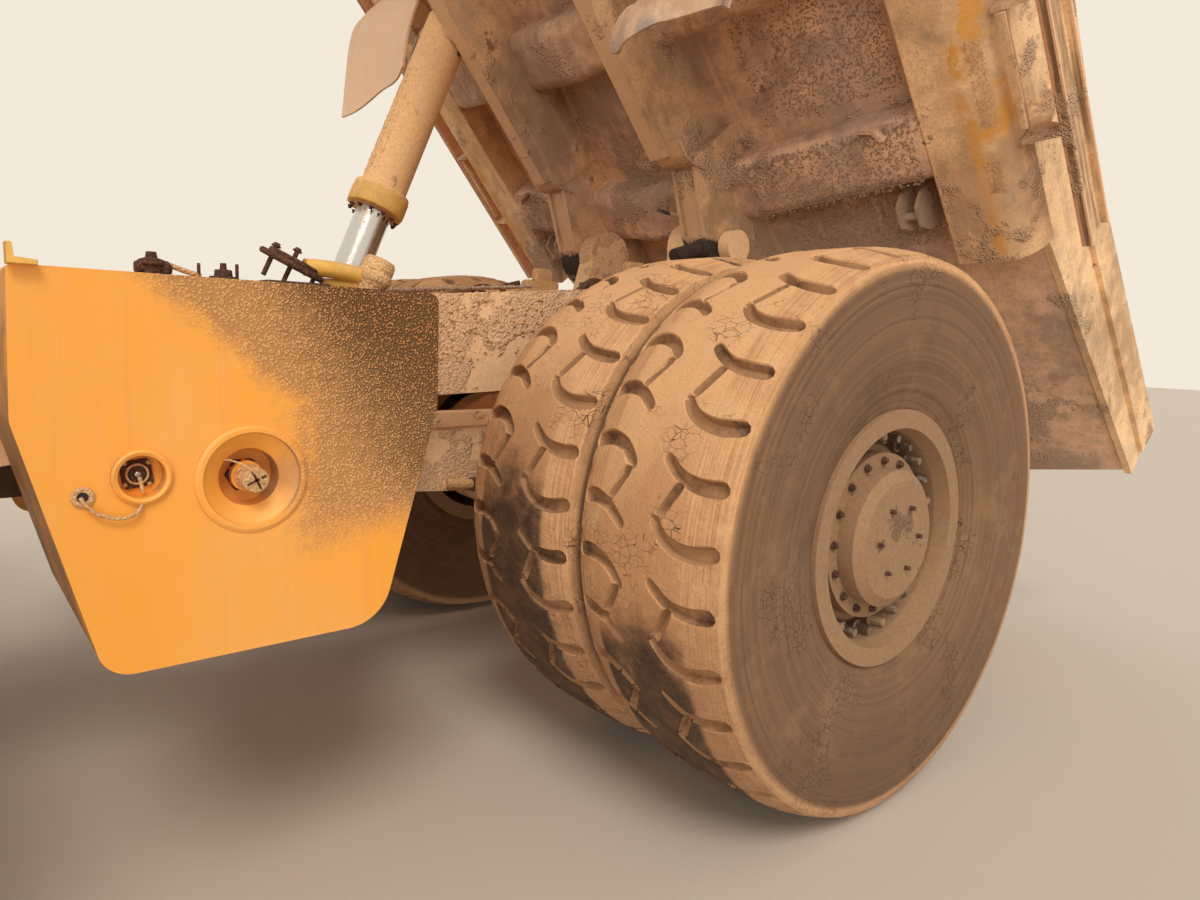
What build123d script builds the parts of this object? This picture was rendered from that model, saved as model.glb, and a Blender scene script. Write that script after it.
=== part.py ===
from build123d import *
import os
from math import atan2, cos, degrees, hypot, radians, sin

os.makedirs("parts", exist_ok=True)

# Off-highway rigid dump truck, millimetres. Lengthwise places are measured from the rear axle's
# centre, +Y towards the tail, +X to the truck's left, +Z up from the floor. Only the last step
# moves everything by ORIGIN_BEHIND, so that the origin lies under the middle of the parked truck.
ORIGIN_BEHIND = 1928

# Wheels and axles
WHEELBASE = 4190
TYRE_R = 1080
SECTION_HALF = 330
BEAD_HALF = 250
BEAD_R = 445
REAR_INNER_X = 1100
TWIN_SPACING = 716
FRONT_X = 1602
DRUM_WALL = 40
FIT = 0.3
CLEAR = 8

# Frame
RAIL_X = 445
RAIL_W = 230
RAIL_OUT = RAIL_X + RAIL_W / 2
RAIL_IN = RAIL_X - RAIL_W / 2
FRONT_OVERHANG = 2780
FRONT_Y = -WHEELBASE - FRONT_OVERHANG
BUMPER_DEPTH = 230
BUMPER_HALF = 1750
TYRE_ROOM = 240
DECK_Z = 2 * TYRE_R + TYRE_ROOM
DECK_T = 70
DECK_OUT = 2080
DECK_FRONT_Y = FRONT_Y + 520
DECK_REAR_Y = -WHEELBASE + 630

# Bed, in its own frame: origin on the hinge line, y along the floor, z square to it
HINGE_Y = 600
HINGE_Z = 2300
BED_ANGLE = 50
PIN_R = 60
BED_RAIL_X = 510
BED_RAIL_W = 100
BED_RAIL_Z = -70
BED_RAIL_END = -560
FLOOR_Z = 270
FLOOR_RISE = 390
FLOOR_T = 30
SILL_IN = 1620
SILL_OUT = 2000
SILL_Z = 410
SILL_TOP = 600
SILL_R = 170
SIDE_RAIL_X = 2155
SIDE_RAIL_W = 45
SIDE_RAIL_Z = 500
SIDE_RAIL_H = 200
SIDE_RAIL_T = 15
WALL_X = 1900
WALL_T = 40
BED_FRONT = -3900
KICK_Y = 450
KICK_ANGLE = 12
TAIL_Y = 2500
TOP_FRONT_Z = 1560
TOP_KICK_Z = 1255
TOP_TAIL_Z = 1430
TOP_RAIL_H = 220
TOP_RAIL_OUT = 1965
RIB_FIRST = -100
RIB_PITCH = 570
RIB_T = 20
CANOPY_FRONT = -6700
CANOPY_Z = 1900
CANOPY_T = 70

# Hoist: the upper pin in the bed's frame, the lower pin on the frame rail
HOIST_X = 722
HOIST_TOP_Y = -1513
HOIST_TOP_Z = 17
HOIST_FOOT_Y = -1363
HOIST_FOOT_Z = 1080
BARREL_R = 125
GLAND_R = HOIST_X - RAIL_OUT - 10
STAGE_R = 95
ROD_R = 65
BARREL_LEN = 1120

# Steering
KINGPIN_X = 1120
TIE_ARM = 450
STEER_ARM = 300

# Cab
CAB_IN = 640
CAB_OUT = 2020
CAB_FRONT_Y = FRONT_Y + 920
CAB_REAR_Y = CAB_FRONT_Y + 1700
CAB_TOP_Z = DECK_Z + 1670
CAB_T = 50
DOOR_FRONT_Y = CAB_FRONT_Y + 300
DOOR_REAR_Y = CAB_REAR_Y - 350
DOOR_HINGE_X = CAB_OUT + 30
DOOR_HINGE_Y = DOOR_FRONT_Y - 18
DOOR_HINGES = (DECK_Z + 200, DECK_Z + 1500)
HINGE_PIN_R = 8


def block(x, y, z):
    """Box between the two numbers given for each direction."""
    size = (x[1] - x[0], y[1] - y[0], z[1] - z[0])
    mid = ((x[0] + x[1]) / 2, (y[0] + y[1]) / 2, (z[0] + z[1]) / 2)
    return Pos(*mid) * Box(*size)


def side_plate(points, x0, x1):
    """Outline in (y, z), thick from x0 to x1."""
    face = Plane.YZ * make_face(Polyline(*points, close=True))
    return Pos(x0, 0, 0) * extrude(face, amount=x1 - x0)


def cross_plate(points, y0, y1):
    """Outline in (x, z), thick from y0 to y1."""
    face = Plane.XZ * make_face(Polyline(*points, close=True))
    return Pos(0, y1, 0) * extrude(face, amount=y1 - y0)


def rod_between(a, b, radius):
    """Round bar from a to b."""
    axis = Vector(*b) - Vector(*a)
    return Plane(origin=a, z_dir=axis).location * Cylinder(
        radius, axis.length, align=(Align.CENTER, Align.CENTER, Align.MIN))


def x_disc(x0, x1, y, z, radius):
    """Round bar along X."""
    return rod_between((x0, y, z), (x1, y, z), radius)


def turned(section, x=0, y=0, z=0):
    """Solid turned about a line along X, from its outline in (x, radius)."""
    face = make_face(Polyline(*section, close=True))
    return Pos(x, y, z) * revolve(face, Axis.X)


def rounded(x, y, z, axis, radius):
    """Box with the four edges along one direction rounded."""
    box = block(x, y, z)
    return fillet(box.edges().filter_by(axis), radius)


def both(shape):
    """The shape and its mirror image on the truck's other side."""
    return [shape, mirror(shape, about=Plane.YZ)]


def fuse(pieces):
    """Joins a list of shapes."""
    whole = pieces[0]
    for piece in pieces[1:]:
        whole = whole + piece
    return whole


NODES = {}


def keep(name, *solids):
    """Records one node, made of one or more solids that don't touch."""
    flat = [s for shape in solids for s in (shape.solids() if shape is not None else [])]
    NODES[name] = Compound(children=flat) if len(flat) > 1 else flat[0]


# Tyres and wheels

FLANGE_H = 45
FLANGE_T = 22
TYRE_SECTION = [
    # half width, radius: bead, sidewall, shoulder, worn crown
    (BEAD_HALF - FIT, BEAD_R + FIT),
    (BEAD_HALF - FIT, BEAD_R + FLANGE_H),
    (BEAD_HALF + 34, BEAD_R + 115),
    (SECTION_HALF - 15, 0.667 * TYRE_R),
    (SECTION_HALF, 0.833 * TYRE_R),
    (SECTION_HALF, 0.917 * TYRE_R),
    (SECTION_HALF - 14, 0.957 * TYRE_R),
    (SECTION_HALF - 90, TYRE_R - 13),
    (SECTION_HALF - 210, TYRE_R),
]


def tyre(x):
    """Earthmover tyre, turned about the axle line at the origin's height."""
    left = [(-w, r) for w, r in reversed(TYRE_SECTION)]
    return turned(TYRE_SECTION + left, x)


def wheel_place(y, shape):
    return Pos(0, y, TYRE_R) * shape


def ring(x0, x1, outer, inner):
    return turned([(x0, inner), (x0, outer), (x1, outer), (x1, inner)])


DISC_T = 45
BORE_DEPTH = 160
SPINDLE_END = 50


def rim(x_in, x_out, disc_x, hub_r, hub_out, spindle_r):
    """Drum, bead flanges, dished disc and stepped hub in one turning, bored for the spindle."""
    inner = BEAD_R - DRUM_WALL
    lip = BEAD_R + FLANGE_H
    bore_r = spindle_r + FIT
    bore_end = disc_x + SPINDLE_END + 10
    return turned([
        (bore_end - BORE_DEPTH, bore_r), (bore_end - BORE_DEPTH, hub_r), (disc_x - 20, hub_r + 20),
        (disc_x - 70, inner), (x_in - FLANGE_T, inner), (x_in - FLANGE_T, lip), (x_in, lip),
        (x_in, BEAD_R), (x_out, BEAD_R), (x_out, lip), (x_out + FLANGE_T, lip),
        (x_out + FLANGE_T, inner + 15), (x_out - 40, inner), (disc_x - 20, inner),
        (disc_x + DISC_T, hub_r + 25), (disc_x + DISC_T, hub_r), (hub_out - 90, hub_r),
        (hub_out - 90, 0.82 * hub_r), (hub_out - 25, 0.82 * hub_r), (hub_out, 0.7 * hub_r),
        (hub_out, 0), (bore_end, 0), (bore_end, bore_r),
    ])


rear_outer_x = REAR_INNER_X + TWIN_SPACING
drum_in = REAR_INNER_X - BEAD_HALF
drum_out = rear_outer_x + BEAD_HALF
REAR_HUB_R = 320
REAR_DISC_X = drum_out - 166
SPINDLE_R = 180
rear_rim = rim(drum_in, drum_out, REAR_DISC_X, REAR_HUB_R, drum_out + 40, SPINDLE_R)
spacer = ring(REAR_INNER_X + BEAD_HALF, rear_outer_x - BEAD_HALF, BEAD_R + FLANGE_H, BEAD_R - 20)
rear_rim = rear_rim + spacer

FRONT_DISC_X = FRONT_X + 38
FRONT_HUB_R = 250
FRONT_SPINDLE_R = 110
front_drum = (FRONT_X - BEAD_HALF, FRONT_X + BEAD_HALF)
front_rim = rim(front_drum[0], front_drum[1], FRONT_DISC_X, FRONT_HUB_R, front_drum[1] + 10, FRONT_SPINDLE_R)

rear_pair = [wheel_place(0, tyre(REAR_INNER_X)), wheel_place(0, tyre(rear_outer_x))]
for side, sign in (("left", 1), ("right", -1)):
    def flip(shape):
        return shape if sign > 0 else mirror(shape, about=Plane.YZ)
    keep("rear_tyres_" + side, *[flip(t) for t in rear_pair])
    keep("rear_rim_" + side, flip(wheel_place(0, rear_rim)))
    keep("front_tyre_" + side, flip(wheel_place(-WHEELBASE, tyre(FRONT_X))))
    keep("front_rim_" + side, flip(wheel_place(-WHEELBASE, front_rim)))

# Frame rails

RAIL_OUTLINE = [
    # y, z along the top to the tail, then back along the bottom
    (FRONT_Y + BUMPER_DEPTH, 1520), (-WHEELBASE + 690, 1600), (-1900, 1880), (-300, 2020), (120, 2040),
    (HINGE_Y + 170, 2040), (HINGE_Y + 170, 1800), (-300, 1560), (-1150, 1522), (-1900, 1440),
    (-WHEELBASE + 690, 1180), (FRONT_Y + BUMPER_DEPTH, 1120),
]
EAR_R = 150
ARM_IN = 465
ARM_OUT = 640
EAR_OUT = ARM_IN - CLEAR
PIN_OUT = 700
LINK_IN = 300
LINK_OUT = 420
DROP_IN = LINK_OUT + 20
HOIST_EYE_W = 180
HOIST_PIN_W = 240
FOOT_GAP = 20


def rail_top(y):
    """Height of the rail's top over its front stretch."""
    (y0, z0), (y1, z1) = RAIL_OUTLINE[0], RAIL_OUTLINE[1]
    return z0 + (z1 - z0) * (y - y0) / (y1 - y0)


def frame_rail():
    """Box rail with the hinge ear on its tail and the hoist boss on its outer face."""
    beam = side_plate(RAIL_OUTLINE, RAIL_IN, RAIL_OUT)
    ear = side_plate([(HINGE_Y - 210, 2030), (HINGE_Y - 130, HINGE_Z), (HINGE_Y + 130, HINGE_Z),
                      (HINGE_Y + 170, 2030)], RAIL_IN, EAR_OUT)
    eye = x_disc(RAIL_IN, EAR_OUT, HINGE_Y, HINGE_Z, EAR_R)
    pin = x_disc(RAIL_IN, PIN_OUT, HINGE_Y, HINGE_Z, PIN_R)
    cap = x_disc(ARM_OUT + CLEAR, PIN_OUT + 20, HINGE_Y, HINGE_Z, PIN_R + 25)
    drop = side_plate([(HOIST_FOOT_Y - 260, 1500), (HOIST_FOOT_Y - 110, HOIST_FOOT_Z),
                       (HOIST_FOOT_Y + 110, HOIST_FOOT_Z), (HOIST_FOOT_Y + 260, 1560)],
                      DROP_IN, RAIL_OUT)
    foot_end = HOIST_X - HOIST_PIN_W / 2 - FOOT_GAP
    foot = turned([(DROP_IN, 0), (DROP_IN, 110), (RAIL_OUT, 110), (foot_end, 85), (foot_end, 0)],
                  0, HOIST_FOOT_Y, HOIST_FOOT_Z)
    return fuse([beam, ear, eye, pin, cap, drop, foot])


keep("frame_rails", *both(frame_rail()))

FRAME_GAP = RAIL_IN - FIT
TUBES = [
    # y, z, radius of the round cross tubes between the rails
    (-WHEELBASE + 1040, 1480, 120),
    (-1900, 1640, 130),
    (HINGE_Y - 150, 1900, 110),
]
A_PIVOT_Y = -1880
A_PIVOT_Z = 1240
CRADLE_TOP = 1175
cradle = block((-FRAME_GAP, FRAME_GAP), (-WHEELBASE - 420, -WHEELBASE + 380), (CRADLE_TOP - 50, CRADLE_TOP))
front_beam = block((-FRAME_GAP, FRAME_GAP), (FRONT_Y + 320, FRONT_Y + 520), (1160, 1480))
cross = [x_disc(-FRAME_GAP, FRAME_GAP, y, z, r) for y, z, r in TUBES]
LUG_IN = 160
pivot_lugs = both(block((LUG_IN, LINK_IN - 20), (A_PIVOT_Y - 70, A_PIVOT_Y + 70), (A_PIVOT_Z - 120, 1600)))
STEER_LUG = 270
steer_y = -WHEELBASE - STEER_ARM
steer_lug = block((-STEER_LUG, STEER_LUG), (steer_y - 70, steer_y + 70), (870, CRADLE_TOP - 45))
keep("cross_members", front_beam, cradle + steer_lug, cross[0], fuse([cross[1]] + pivot_lugs), cross[2])

# Front end

bumper = cross_plate([(-BUMPER_HALF, 900), (-BUMPER_HALF + 120, 780), (BUMPER_HALF - 120, 780),
                      (BUMPER_HALF, 900), (BUMPER_HALF, 1330), (-BUMPER_HALF, 1330)],
                     FRONT_Y, FRONT_Y + BUMPER_DEPTH)
TOW_R = 45
TOW_X = 600
TOW_Z = 1060
tow_eye = side_plate([(FRONT_Y - 150, TOW_Z + 70), (FRONT_Y - 150, TOW_Z - 70),
                      (FRONT_Y, TOW_Z - 130), (FRONT_Y, TOW_Z + 130)], TOW_X - 40, TOW_X + 40)
tow_eye = tow_eye - x_disc(TOW_X - 50, TOW_X + 50, FRONT_Y - 75, TOW_Z, TOW_R)
LAMP_X = (1240, 1580)
LAMP_Z = (1040, 1200)
LAMP_DEPTH = 60
lamp_pocket = block(LAMP_X, (FRONT_Y - 1, FRONT_Y + LAMP_DEPTH), LAMP_Z)
bumper = fuse([bumper] + both(tow_eye)) - lamp_pocket - mirror(lamp_pocket, about=Plane.YZ)
keep("front_bumper", bumper)
lamp = block((LAMP_X[0] + FIT, LAMP_X[1] - FIT), (FRONT_Y + 5, FRONT_Y + LAMP_DEPTH - FIT),
             (LAMP_Z[0] + FIT, LAMP_Z[1] - FIT))
keep("headlamps", *both(lamp))

HOOD_HALF = 560
HOOD_WALL = 30
RADIATOR_Y = FRONT_Y + 470
RADIATOR_T = 180
RADIATOR_FOOT = rail_top(RADIATOR_Y + RADIATOR_T) + FIT
hood_z = DECK_Z + 240
keep("radiator", block((-HOOD_HALF + 40, HOOD_HALF - 40), (RADIATOR_Y, RADIATOR_Y + RADIATOR_T),
                       (RADIATOR_FOOT, hood_z - 80)))
grille_back = RADIATOR_Y - FIT
grille_front = grille_back - 180
grille_low, grille_high = RADIATOR_FOOT + 70, hood_z - 70
grille_frame = rounded((-HOOD_HALF, HOOD_HALF), (grille_front, grille_back), (RADIATOR_FOOT, hood_z), Axis.Y,
                       60)
grille_frame = grille_frame - rounded((-HOOD_HALF + 70, HOOD_HALF - 70),
                                      (grille_front - 10, grille_back + 10),
                                      (grille_low, grille_high), Axis.Y, 30)
BAR_COUNT = 9
bars = []
for i in range(BAR_COUNT):
    z = grille_low + (i + 0.5) * (grille_high - grille_low) / BAR_COUNT
    slat = side_plate([(grille_front + 30, z - 26), (grille_front + 42, z - 30), (grille_front + 110, z + 22),
                       (grille_front + 98, z + 26)], -HOOD_HALF + 60, HOOD_HALF - 60)
    bars.append(slat)
keep("grille", fuse([grille_frame] + bars))
ENGINE_Y = (-WHEELBASE - 1910, -WHEELBASE - 410)
engine = block((-290, 290), ENGINE_Y, (CRADLE_TOP + FIT, 1640))
heads = both(cross_plate([(60, 1640), (400, 1640), (470, 1900), (300, 2130), (60, 2130)], ENGINE_Y[0],
                         ENGINE_Y[1]))
keep("engine_block", fuse([engine, block((-100, 100), ENGINE_Y, (1600, 2240))] + heads))
hood_back = -WHEELBASE - 260
hood_line = [(RADIATOR_Y, DECK_Z), (RADIATOR_Y, hood_z), (RADIATOR_Y + 900, hood_z + 70),
             (hood_back, hood_z + 90),
             (hood_back, DECK_Z)]
hood_hollow = [(RADIATOR_Y - 10, DECK_Z - 10), (RADIATOR_Y - 10, hood_z - HOOD_WALL),
               (RADIATOR_Y + 900, hood_z + 70 - HOOD_WALL), (hood_back - HOOD_WALL, hood_z + 90 - HOOD_WALL),
               (hood_back - HOOD_WALL, DECK_Z - 10)]
hood = side_plate(hood_line, -HOOD_HALF, HOOD_HALF)
hood = fillet(hood.edges().filter_by(lambda e: abs(e.center().X) > HOOD_HALF - 1 and e.center().Z > hood_z),
              50)
hood = hood - side_plate(hood_hollow, -HOOD_HALF + HOOD_WALL, HOOD_HALF - HOOD_WALL)
keep("hood", hood)

# Decks over the front wheels, with the posts that carry them from the frame

DECK_IN = HOOD_HALF + CLEAR
STRUT_WEB_TOP = 2070
POSTS = [
    # y of the middle, foot's z
    (FRONT_Y + 1120, 1250),
    (-WHEELBASE, STRUT_WEB_TOP + FIT),
]


def deck():
    top = block((DECK_IN, DECK_OUT), (DECK_FRONT_Y, DECK_REAR_Y), (DECK_Z - DECK_T, DECK_Z))
    lip = block((DECK_OUT - 30, DECK_OUT), (DECK_FRONT_Y, DECK_REAR_Y), (DECK_Z - 150, DECK_Z))
    posts = [block((RAIL_OUT + FIT, RAIL_OUT + 130), (y - 80, y + 80), (foot, DECK_Z - DECK_T + 5))
             for y, foot in POSTS]
    return fuse([top, lip] + posts)


keep("deck_left", deck())
keep("deck_right", mirror(deck(), about=Plane.YZ))

STAIR_X = (1120, 1700)
STEPS = 4


def stair():
    """Slanted ladder from the bumper up to the deck."""
    run0, run1 = FRONT_Y + 20, DECK_FRONT_Y
    foot_z, top_z = 1330 + FIT, DECK_Z
    lean = run1 - run0
    sides = []
    for x in STAIR_X:
        sides.append(side_plate([(run0, foot_z), (run0 + 90, foot_z), (run1 - FIT, top_z - 250),
                                 (run1 - FIT, top_z), (run1 - 90, top_z)], x - 15, x + 15))
    treads = []
    for i in range(STEPS):
        f = (i + 0.6) / STEPS
        y = run0 + 30 + lean * f * 0.85
        z = foot_z + (top_z - foot_z) * f
        treads.append(block((STAIR_X[0], STAIR_X[1]), (y, y + 150), (z - 30, z)))
    return fuse(sides + treads)


keep("stairs", *both(stair()))

RAIL_TUBE = 20
RAIL_HIGH = 1000
POST_PITCH = 900
side_x = DECK_OUT - 30
front_y = DECK_FRONT_Y + 30
RAIL_RUNS = [
    # x and y of the two ends
    ((DECK_OUT - 60, front_y), (1760, front_y)),
    ((1060, front_y), (DECK_IN + 40, front_y)),
    ((-side_x, DECK_FRONT_Y + 110), (-side_x, DECK_REAR_Y - 60)),
    ((-DECK_OUT + 60, front_y), (-1760, front_y)),
    ((-1060, front_y), (-DECK_IN - 40, front_y)),
]


def handrail(a, b):
    """Straight run of railing: posts, top rail and knee rail."""
    z0 = DECK_Z + FIT
    posts = round(hypot(b[0] - a[0], b[1] - a[1]) / POST_PITCH) + 1
    posts = max(posts, 2)
    pieces = []
    for i in range(posts):
        f = i / (posts - 1)
        x, y = a[0] + (b[0] - a[0]) * f, a[1] + (b[1] - a[1]) * f
        pieces.append(rod_between((x, y, z0), (x, y, z0 + RAIL_HIGH), RAIL_TUBE))
    for z in (z0 + RAIL_HIGH, z0 + RAIL_HIGH * 0.5):
        pieces.append(rod_between((a[0], a[1], z), (b[0], b[1], z), RAIL_TUBE * 0.9))
    return fuse(pieces)


keep("handrails", *[handrail(a, b) for a, b in RAIL_RUNS])

FILTER_R = 210
FILTER_H = 760
filters = []
for x in (-900, -1450):
    # canister, waist, and the wide rain cap on top
    outline = [(0, 0), (FILTER_R, 0), (FILTER_R, FILTER_H - 160), (110, FILTER_H - 90), (110, FILTER_H - 50),
               (FILTER_R - 30, FILTER_H - 50), (FILTER_R - 50, FILTER_H), (0, FILTER_H)]
    body = revolve(Plane.XZ * make_face(Polyline(*outline, close=True)), Axis.Z)
    filters.append(Pos(x, DECK_FRONT_Y + 420, DECK_Z + FIT) * body)
keep("air_cleaners", *filters)


def mirror_set():
    arm_z = DECK_Z + RAIL_HIGH + RAIL_TUBE * 0.9 + 18 + 2 * FIT
    arm = rod_between((DECK_OUT - 120, DECK_FRONT_Y + 40, arm_z), (DECK_OUT + 250, DECK_FRONT_Y - 60, arm_z),
                      18)
    head = rounded((DECK_OUT + 160, DECK_OUT + 420), (DECK_FRONT_Y - 110, DECK_FRONT_Y - 40),
                   (DECK_Z + RAIL_HIGH - 250, DECK_Z + RAIL_HIGH + 130), Axis.Y, 35)
    return arm + head


keep("mirrors", *both(mirror_set()))

# Tanks on the frame's sides

TANK_IN = 650
TANK_OUT = 1500
TANK_TOP = 1900
TANK_BRACKETS = (-2400, -1850)
TANK_OUTLINE = [
    # y, z, corner radius, round the tank's end plate
    (-2633, TANK_TOP, 15), (-1604, TANK_TOP, 30), (-1604, 1570, 250), (-1783, 940, 130),
    (-2483, 935, 80), (-2643, 1560, 60),
]


def tank(x0, x1):
    """Tank with rounded lower corners, on two brackets from the frame rail."""
    points = [(y, z) for y, z, r in TANK_OUTLINE]
    radii = [r for y, z, r in TANK_OUTLINE]
    wire = FilletPolyline(*points, radius=radii, close=True)
    shell = Pos(x0, 0, 0) * extrude(Plane.YZ * make_face(wire), amount=x1 - x0)
    brackets = [block((RAIL_OUT + FIT, x0 + 20), (y - 60, y + 60), (1330, 1750)) for y in TANK_BRACKETS]
    return fuse([shell] + brackets)


FILLER_Y = -2137
FILLER_Z = 1395
FILLER_R = 140
DISH_R = 118
NECK_R = 76
DISH_DEPTH = 32
NECK_DEPTH = 95
GAUGE_Y = -2392
GAUGE_Z = 1421
GAUGE_R = 66
GAUGE_DEPTH = 40
dish = [(TANK_OUT + 9, 0), (TANK_OUT + 9, DISH_R), (TANK_OUT, DISH_R), (TANK_OUT - DISH_DEPTH, NECK_R),
        (TANK_OUT - NECK_DEPTH, NECK_R), (TANK_OUT - NECK_DEPTH, 0)]
filler_ring = [(TANK_OUT - 5, DISH_R), (TANK_OUT - 5, FILLER_R), (TANK_OUT + 4, FILLER_R),
               (TANK_OUT + 8, FILLER_R - 8),
               (TANK_OUT + 8, DISH_R + 4), (TANK_OUT, DISH_R)]
gauge_ring = [(TANK_OUT - 5, GAUGE_R - 14), (TANK_OUT - 5, GAUGE_R), (TANK_OUT + 10, GAUGE_R),
              (TANK_OUT + 14, GAUGE_R - 6), (TANK_OUT + 10, GAUGE_R - 14)]
coupling = [(TANK_OUT - NECK_DEPTH - 5, 0), (TANK_OUT - NECK_DEPTH - 5, 40), (TANK_OUT - 50, 40),
            (TANK_OUT - 50, 29), (TANK_OUT + 22, 29), (TANK_OUT + 26, 25), (TANK_OUT + 26, 0)]
fuel_tank = tank(TANK_IN, TANK_OUT) - turned(dish, 0, FILLER_Y, FILLER_Z)
fuel_tank = fuel_tank - x_disc(TANK_OUT - GAUGE_DEPTH, TANK_OUT + 10, GAUGE_Y, GAUGE_Z, GAUGE_R - 14)
for section, y, z in ((filler_ring, FILLER_Y, FILLER_Z), (coupling, FILLER_Y, FILLER_Z),
                      (gauge_ring, GAUGE_Y, GAUGE_Z)):
    fuel_tank = fuel_tank + turned(section, 0, y, z)
keep("fuel_tank", fuel_tank)
keep("hydraulic_tank", mirror(tank(TANK_IN, TANK_OUT - 150), about=Plane.YZ))

# Front struts and steering

STRUT_R = 140
KNUCKLE_R = 128
STRUT_FOOT = 1500


def front_strut():
    """Upper cylinder of the front strut with its brackets to the frame."""
    tube = Pos(KINGPIN_X, -WHEELBASE, STRUT_FOOT) * Cylinder(
        STRUT_R, 700, align=(Align.CENTER, Align.CENTER, Align.MIN))
    arms = [block((RAIL_OUT + FIT, KINGPIN_X), (-WHEELBASE - 120, -WHEELBASE + 120), (z, z + 110))
            for z in (STRUT_FOOT + 10, STRUT_FOOT + 460)]
    web = block((RAIL_OUT + FIT, RAIL_OUT + 60), (-WHEELBASE - 200, -WHEELBASE + 200), (1300, STRUT_WEB_TOP))
    return fuse([tube, web] + arms)


keep("front_struts", *both(front_strut()))

ARM_Z = 830
ARM_T = 50
BALL_R = 24


def knuckle():
    """Strut foot, wheel spindle, tie-rod arm and steering arm in one forging."""
    barrel = Pos(KINGPIN_X, -WHEELBASE, 760) * Cylinder(
        KNUCKLE_R, STRUT_FOOT - FIT - 760, align=(Align.CENTER, Align.CENTER, Align.MIN))
    spindle = x_disc(KINGPIN_X, FRONT_DISC_X + 50, -WHEELBASE, TYRE_R, FRONT_SPINDLE_R)
    arm = block((KINGPIN_X - 60, KINGPIN_X + 60), (-WHEELBASE - STEER_ARM, -WHEELBASE + TIE_ARM),
                (ARM_Z, ARM_Z + ARM_T))
    ends = [Pos(KINGPIN_X, -WHEELBASE + y, ARM_Z) * Cylinder(
        60, ARM_T, align=(Align.CENTER, Align.CENTER, Align.MIN)) for y in (-STEER_ARM, TIE_ARM)]
    ball = Pos(KINGPIN_X, -WHEELBASE + TIE_ARM, ARM_Z) * Cylinder(
        BALL_R, 150, align=(Align.CENTER, Align.CENTER, Align.MIN))
    return fuse([barrel, spindle, arm, ball] + ends)


keep("knuckle_left", knuckle())
keep("knuckle_right", mirror(knuckle(), about=Plane.YZ))

rod_z = ARM_Z + ARM_T + 60
tie = x_disc(-KINGPIN_X + 50, KINGPIN_X - 50, -WHEELBASE + TIE_ARM, rod_z, 38)
for sign in (1, -1):
    eye = Pos(sign * KINGPIN_X, -WHEELBASE + TIE_ARM, rod_z - 52) * Cylinder(
        60, 104, align=(Align.CENTER, Align.CENTER, Align.MIN))
    tie = tie + eye
for sign in (1, -1):
    tie = tie - (Pos(sign * KINGPIN_X, -WHEELBASE + TIE_ARM, rod_z) * Cylinder(BALL_R + FIT, 300))
keep("tie_rod", tie)

STEER_BARREL = (STEER_LUG + 30, 760)
STEER_ROD_R = 32
steer_rod = x_disc(540, KINGPIN_X - 40, steer_y, rod_z, STEER_ROD_R)
steer_eye = Pos(KINGPIN_X, steer_y, rod_z - 50) * Cylinder(62, 100,
                                                           align=(Align.CENTER, Align.CENTER, Align.MIN))
steer_rod = steer_rod + steer_eye
steer_barrel = x_disc(STEER_BARREL[0], STEER_BARREL[1], steer_y, rod_z, 58)
steer_barrel = steer_barrel - x_disc(340, STEER_BARREL[1] + 1, steer_y, rod_z, STEER_ROD_R + FIT)
steer_clamp = block((STEER_LUG + FIT, STEER_BARREL[0] + 1), (steer_y - 50, steer_y + 50),
                    (rod_z - 50, rod_z + 50))
keep("steer_barrels", *both(steer_barrel + steer_clamp))
keep("steer_rod_left", steer_rod)
keep("steer_rod_right", mirror(steer_rod, about=Plane.YZ))

# Rear axle, suspension arms, struts and drive line

AXLE_TUBE_R = 260
STRUT_Y = 440
axle_end = REAR_DISC_X + SPINDLE_END
AXLE_HALF = [
    # x, radius: banjo, cone, tube, brake pack, spindle
    (0, 340), (150, 330), (290, AXLE_TUBE_R), (620, AXLE_TUBE_R), (640, 350), (800, 350), (820, AXLE_TUBE_R),
    (REAR_DISC_X - 125, AXLE_TUBE_R), (REAR_DISC_X - 125, SPINDLE_R), (axle_end, SPINDLE_R), (axle_end, 0),
]
axle = turned(AXLE_HALF + [(-x, r) for x, r in reversed(AXLE_HALF)], 0, 0, TYRE_R)
arms = []
for shape in (
        side_plate([(100, 1357), (A_PIVOT_Y, A_PIVOT_Z + 110), (A_PIVOT_Y - 90, A_PIVOT_Z),
                    (A_PIVOT_Y, A_PIVOT_Z - 100), (-900, 1070), (100, 900)], LINK_IN, LINK_OUT),
        side_plate([(0, 1000), (STRUT_Y + 110, 1000), (STRUT_Y + 110, 860), (0, 840)], 410, 550),
        x_disc(LINK_IN - 20 + FIT, LINK_IN + 20, A_PIVOT_Y, A_PIVOT_Z, 60)):
    arms += both(shape)
keep("rear_axle", fuse([axle] + arms))


frame_cut = Pos(-FIT, 0, 0) * side_plate(
    [(y, z - FIT) for y, z in RAIL_OUTLINE], RAIL_IN - 10, RAIL_OUT + 200)


def rear_strut():
    """Strut from the axle's foot plate up to the underside of the frame rail."""
    outline = [(0, 1000 + FIT), (75, 1000 + FIT), (75, 1350), (95, 1380), (95, 1880), (0, 1880)]
    tube = revolve(Plane.XZ * make_face(Polyline(*outline, close=True)), Axis.Z)
    return Pos(480, STRUT_Y, 0) * tube - frame_cut


keep("rear_struts", *both(rear_strut()))

GEARBOX_Y = (-WHEELBASE - 360, -WHEELBASE + 1690)
gearbox = block((-280, 280), GEARBOX_Y, (CRADLE_TOP + FIT, 1350))
gearbox = gearbox + rounded((-280, 280), (GEARBOX_Y[1] - 500, GEARBOX_Y[1]), (CRADLE_TOP - 15, 1750), Axis.Y,
                            90)
shaft = rod_between((0, GEARBOX_Y[1] - 10, 1300), (0, -345, TYRE_R + 30), 70)
keep("drive_line", gearbox + shaft)

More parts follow.
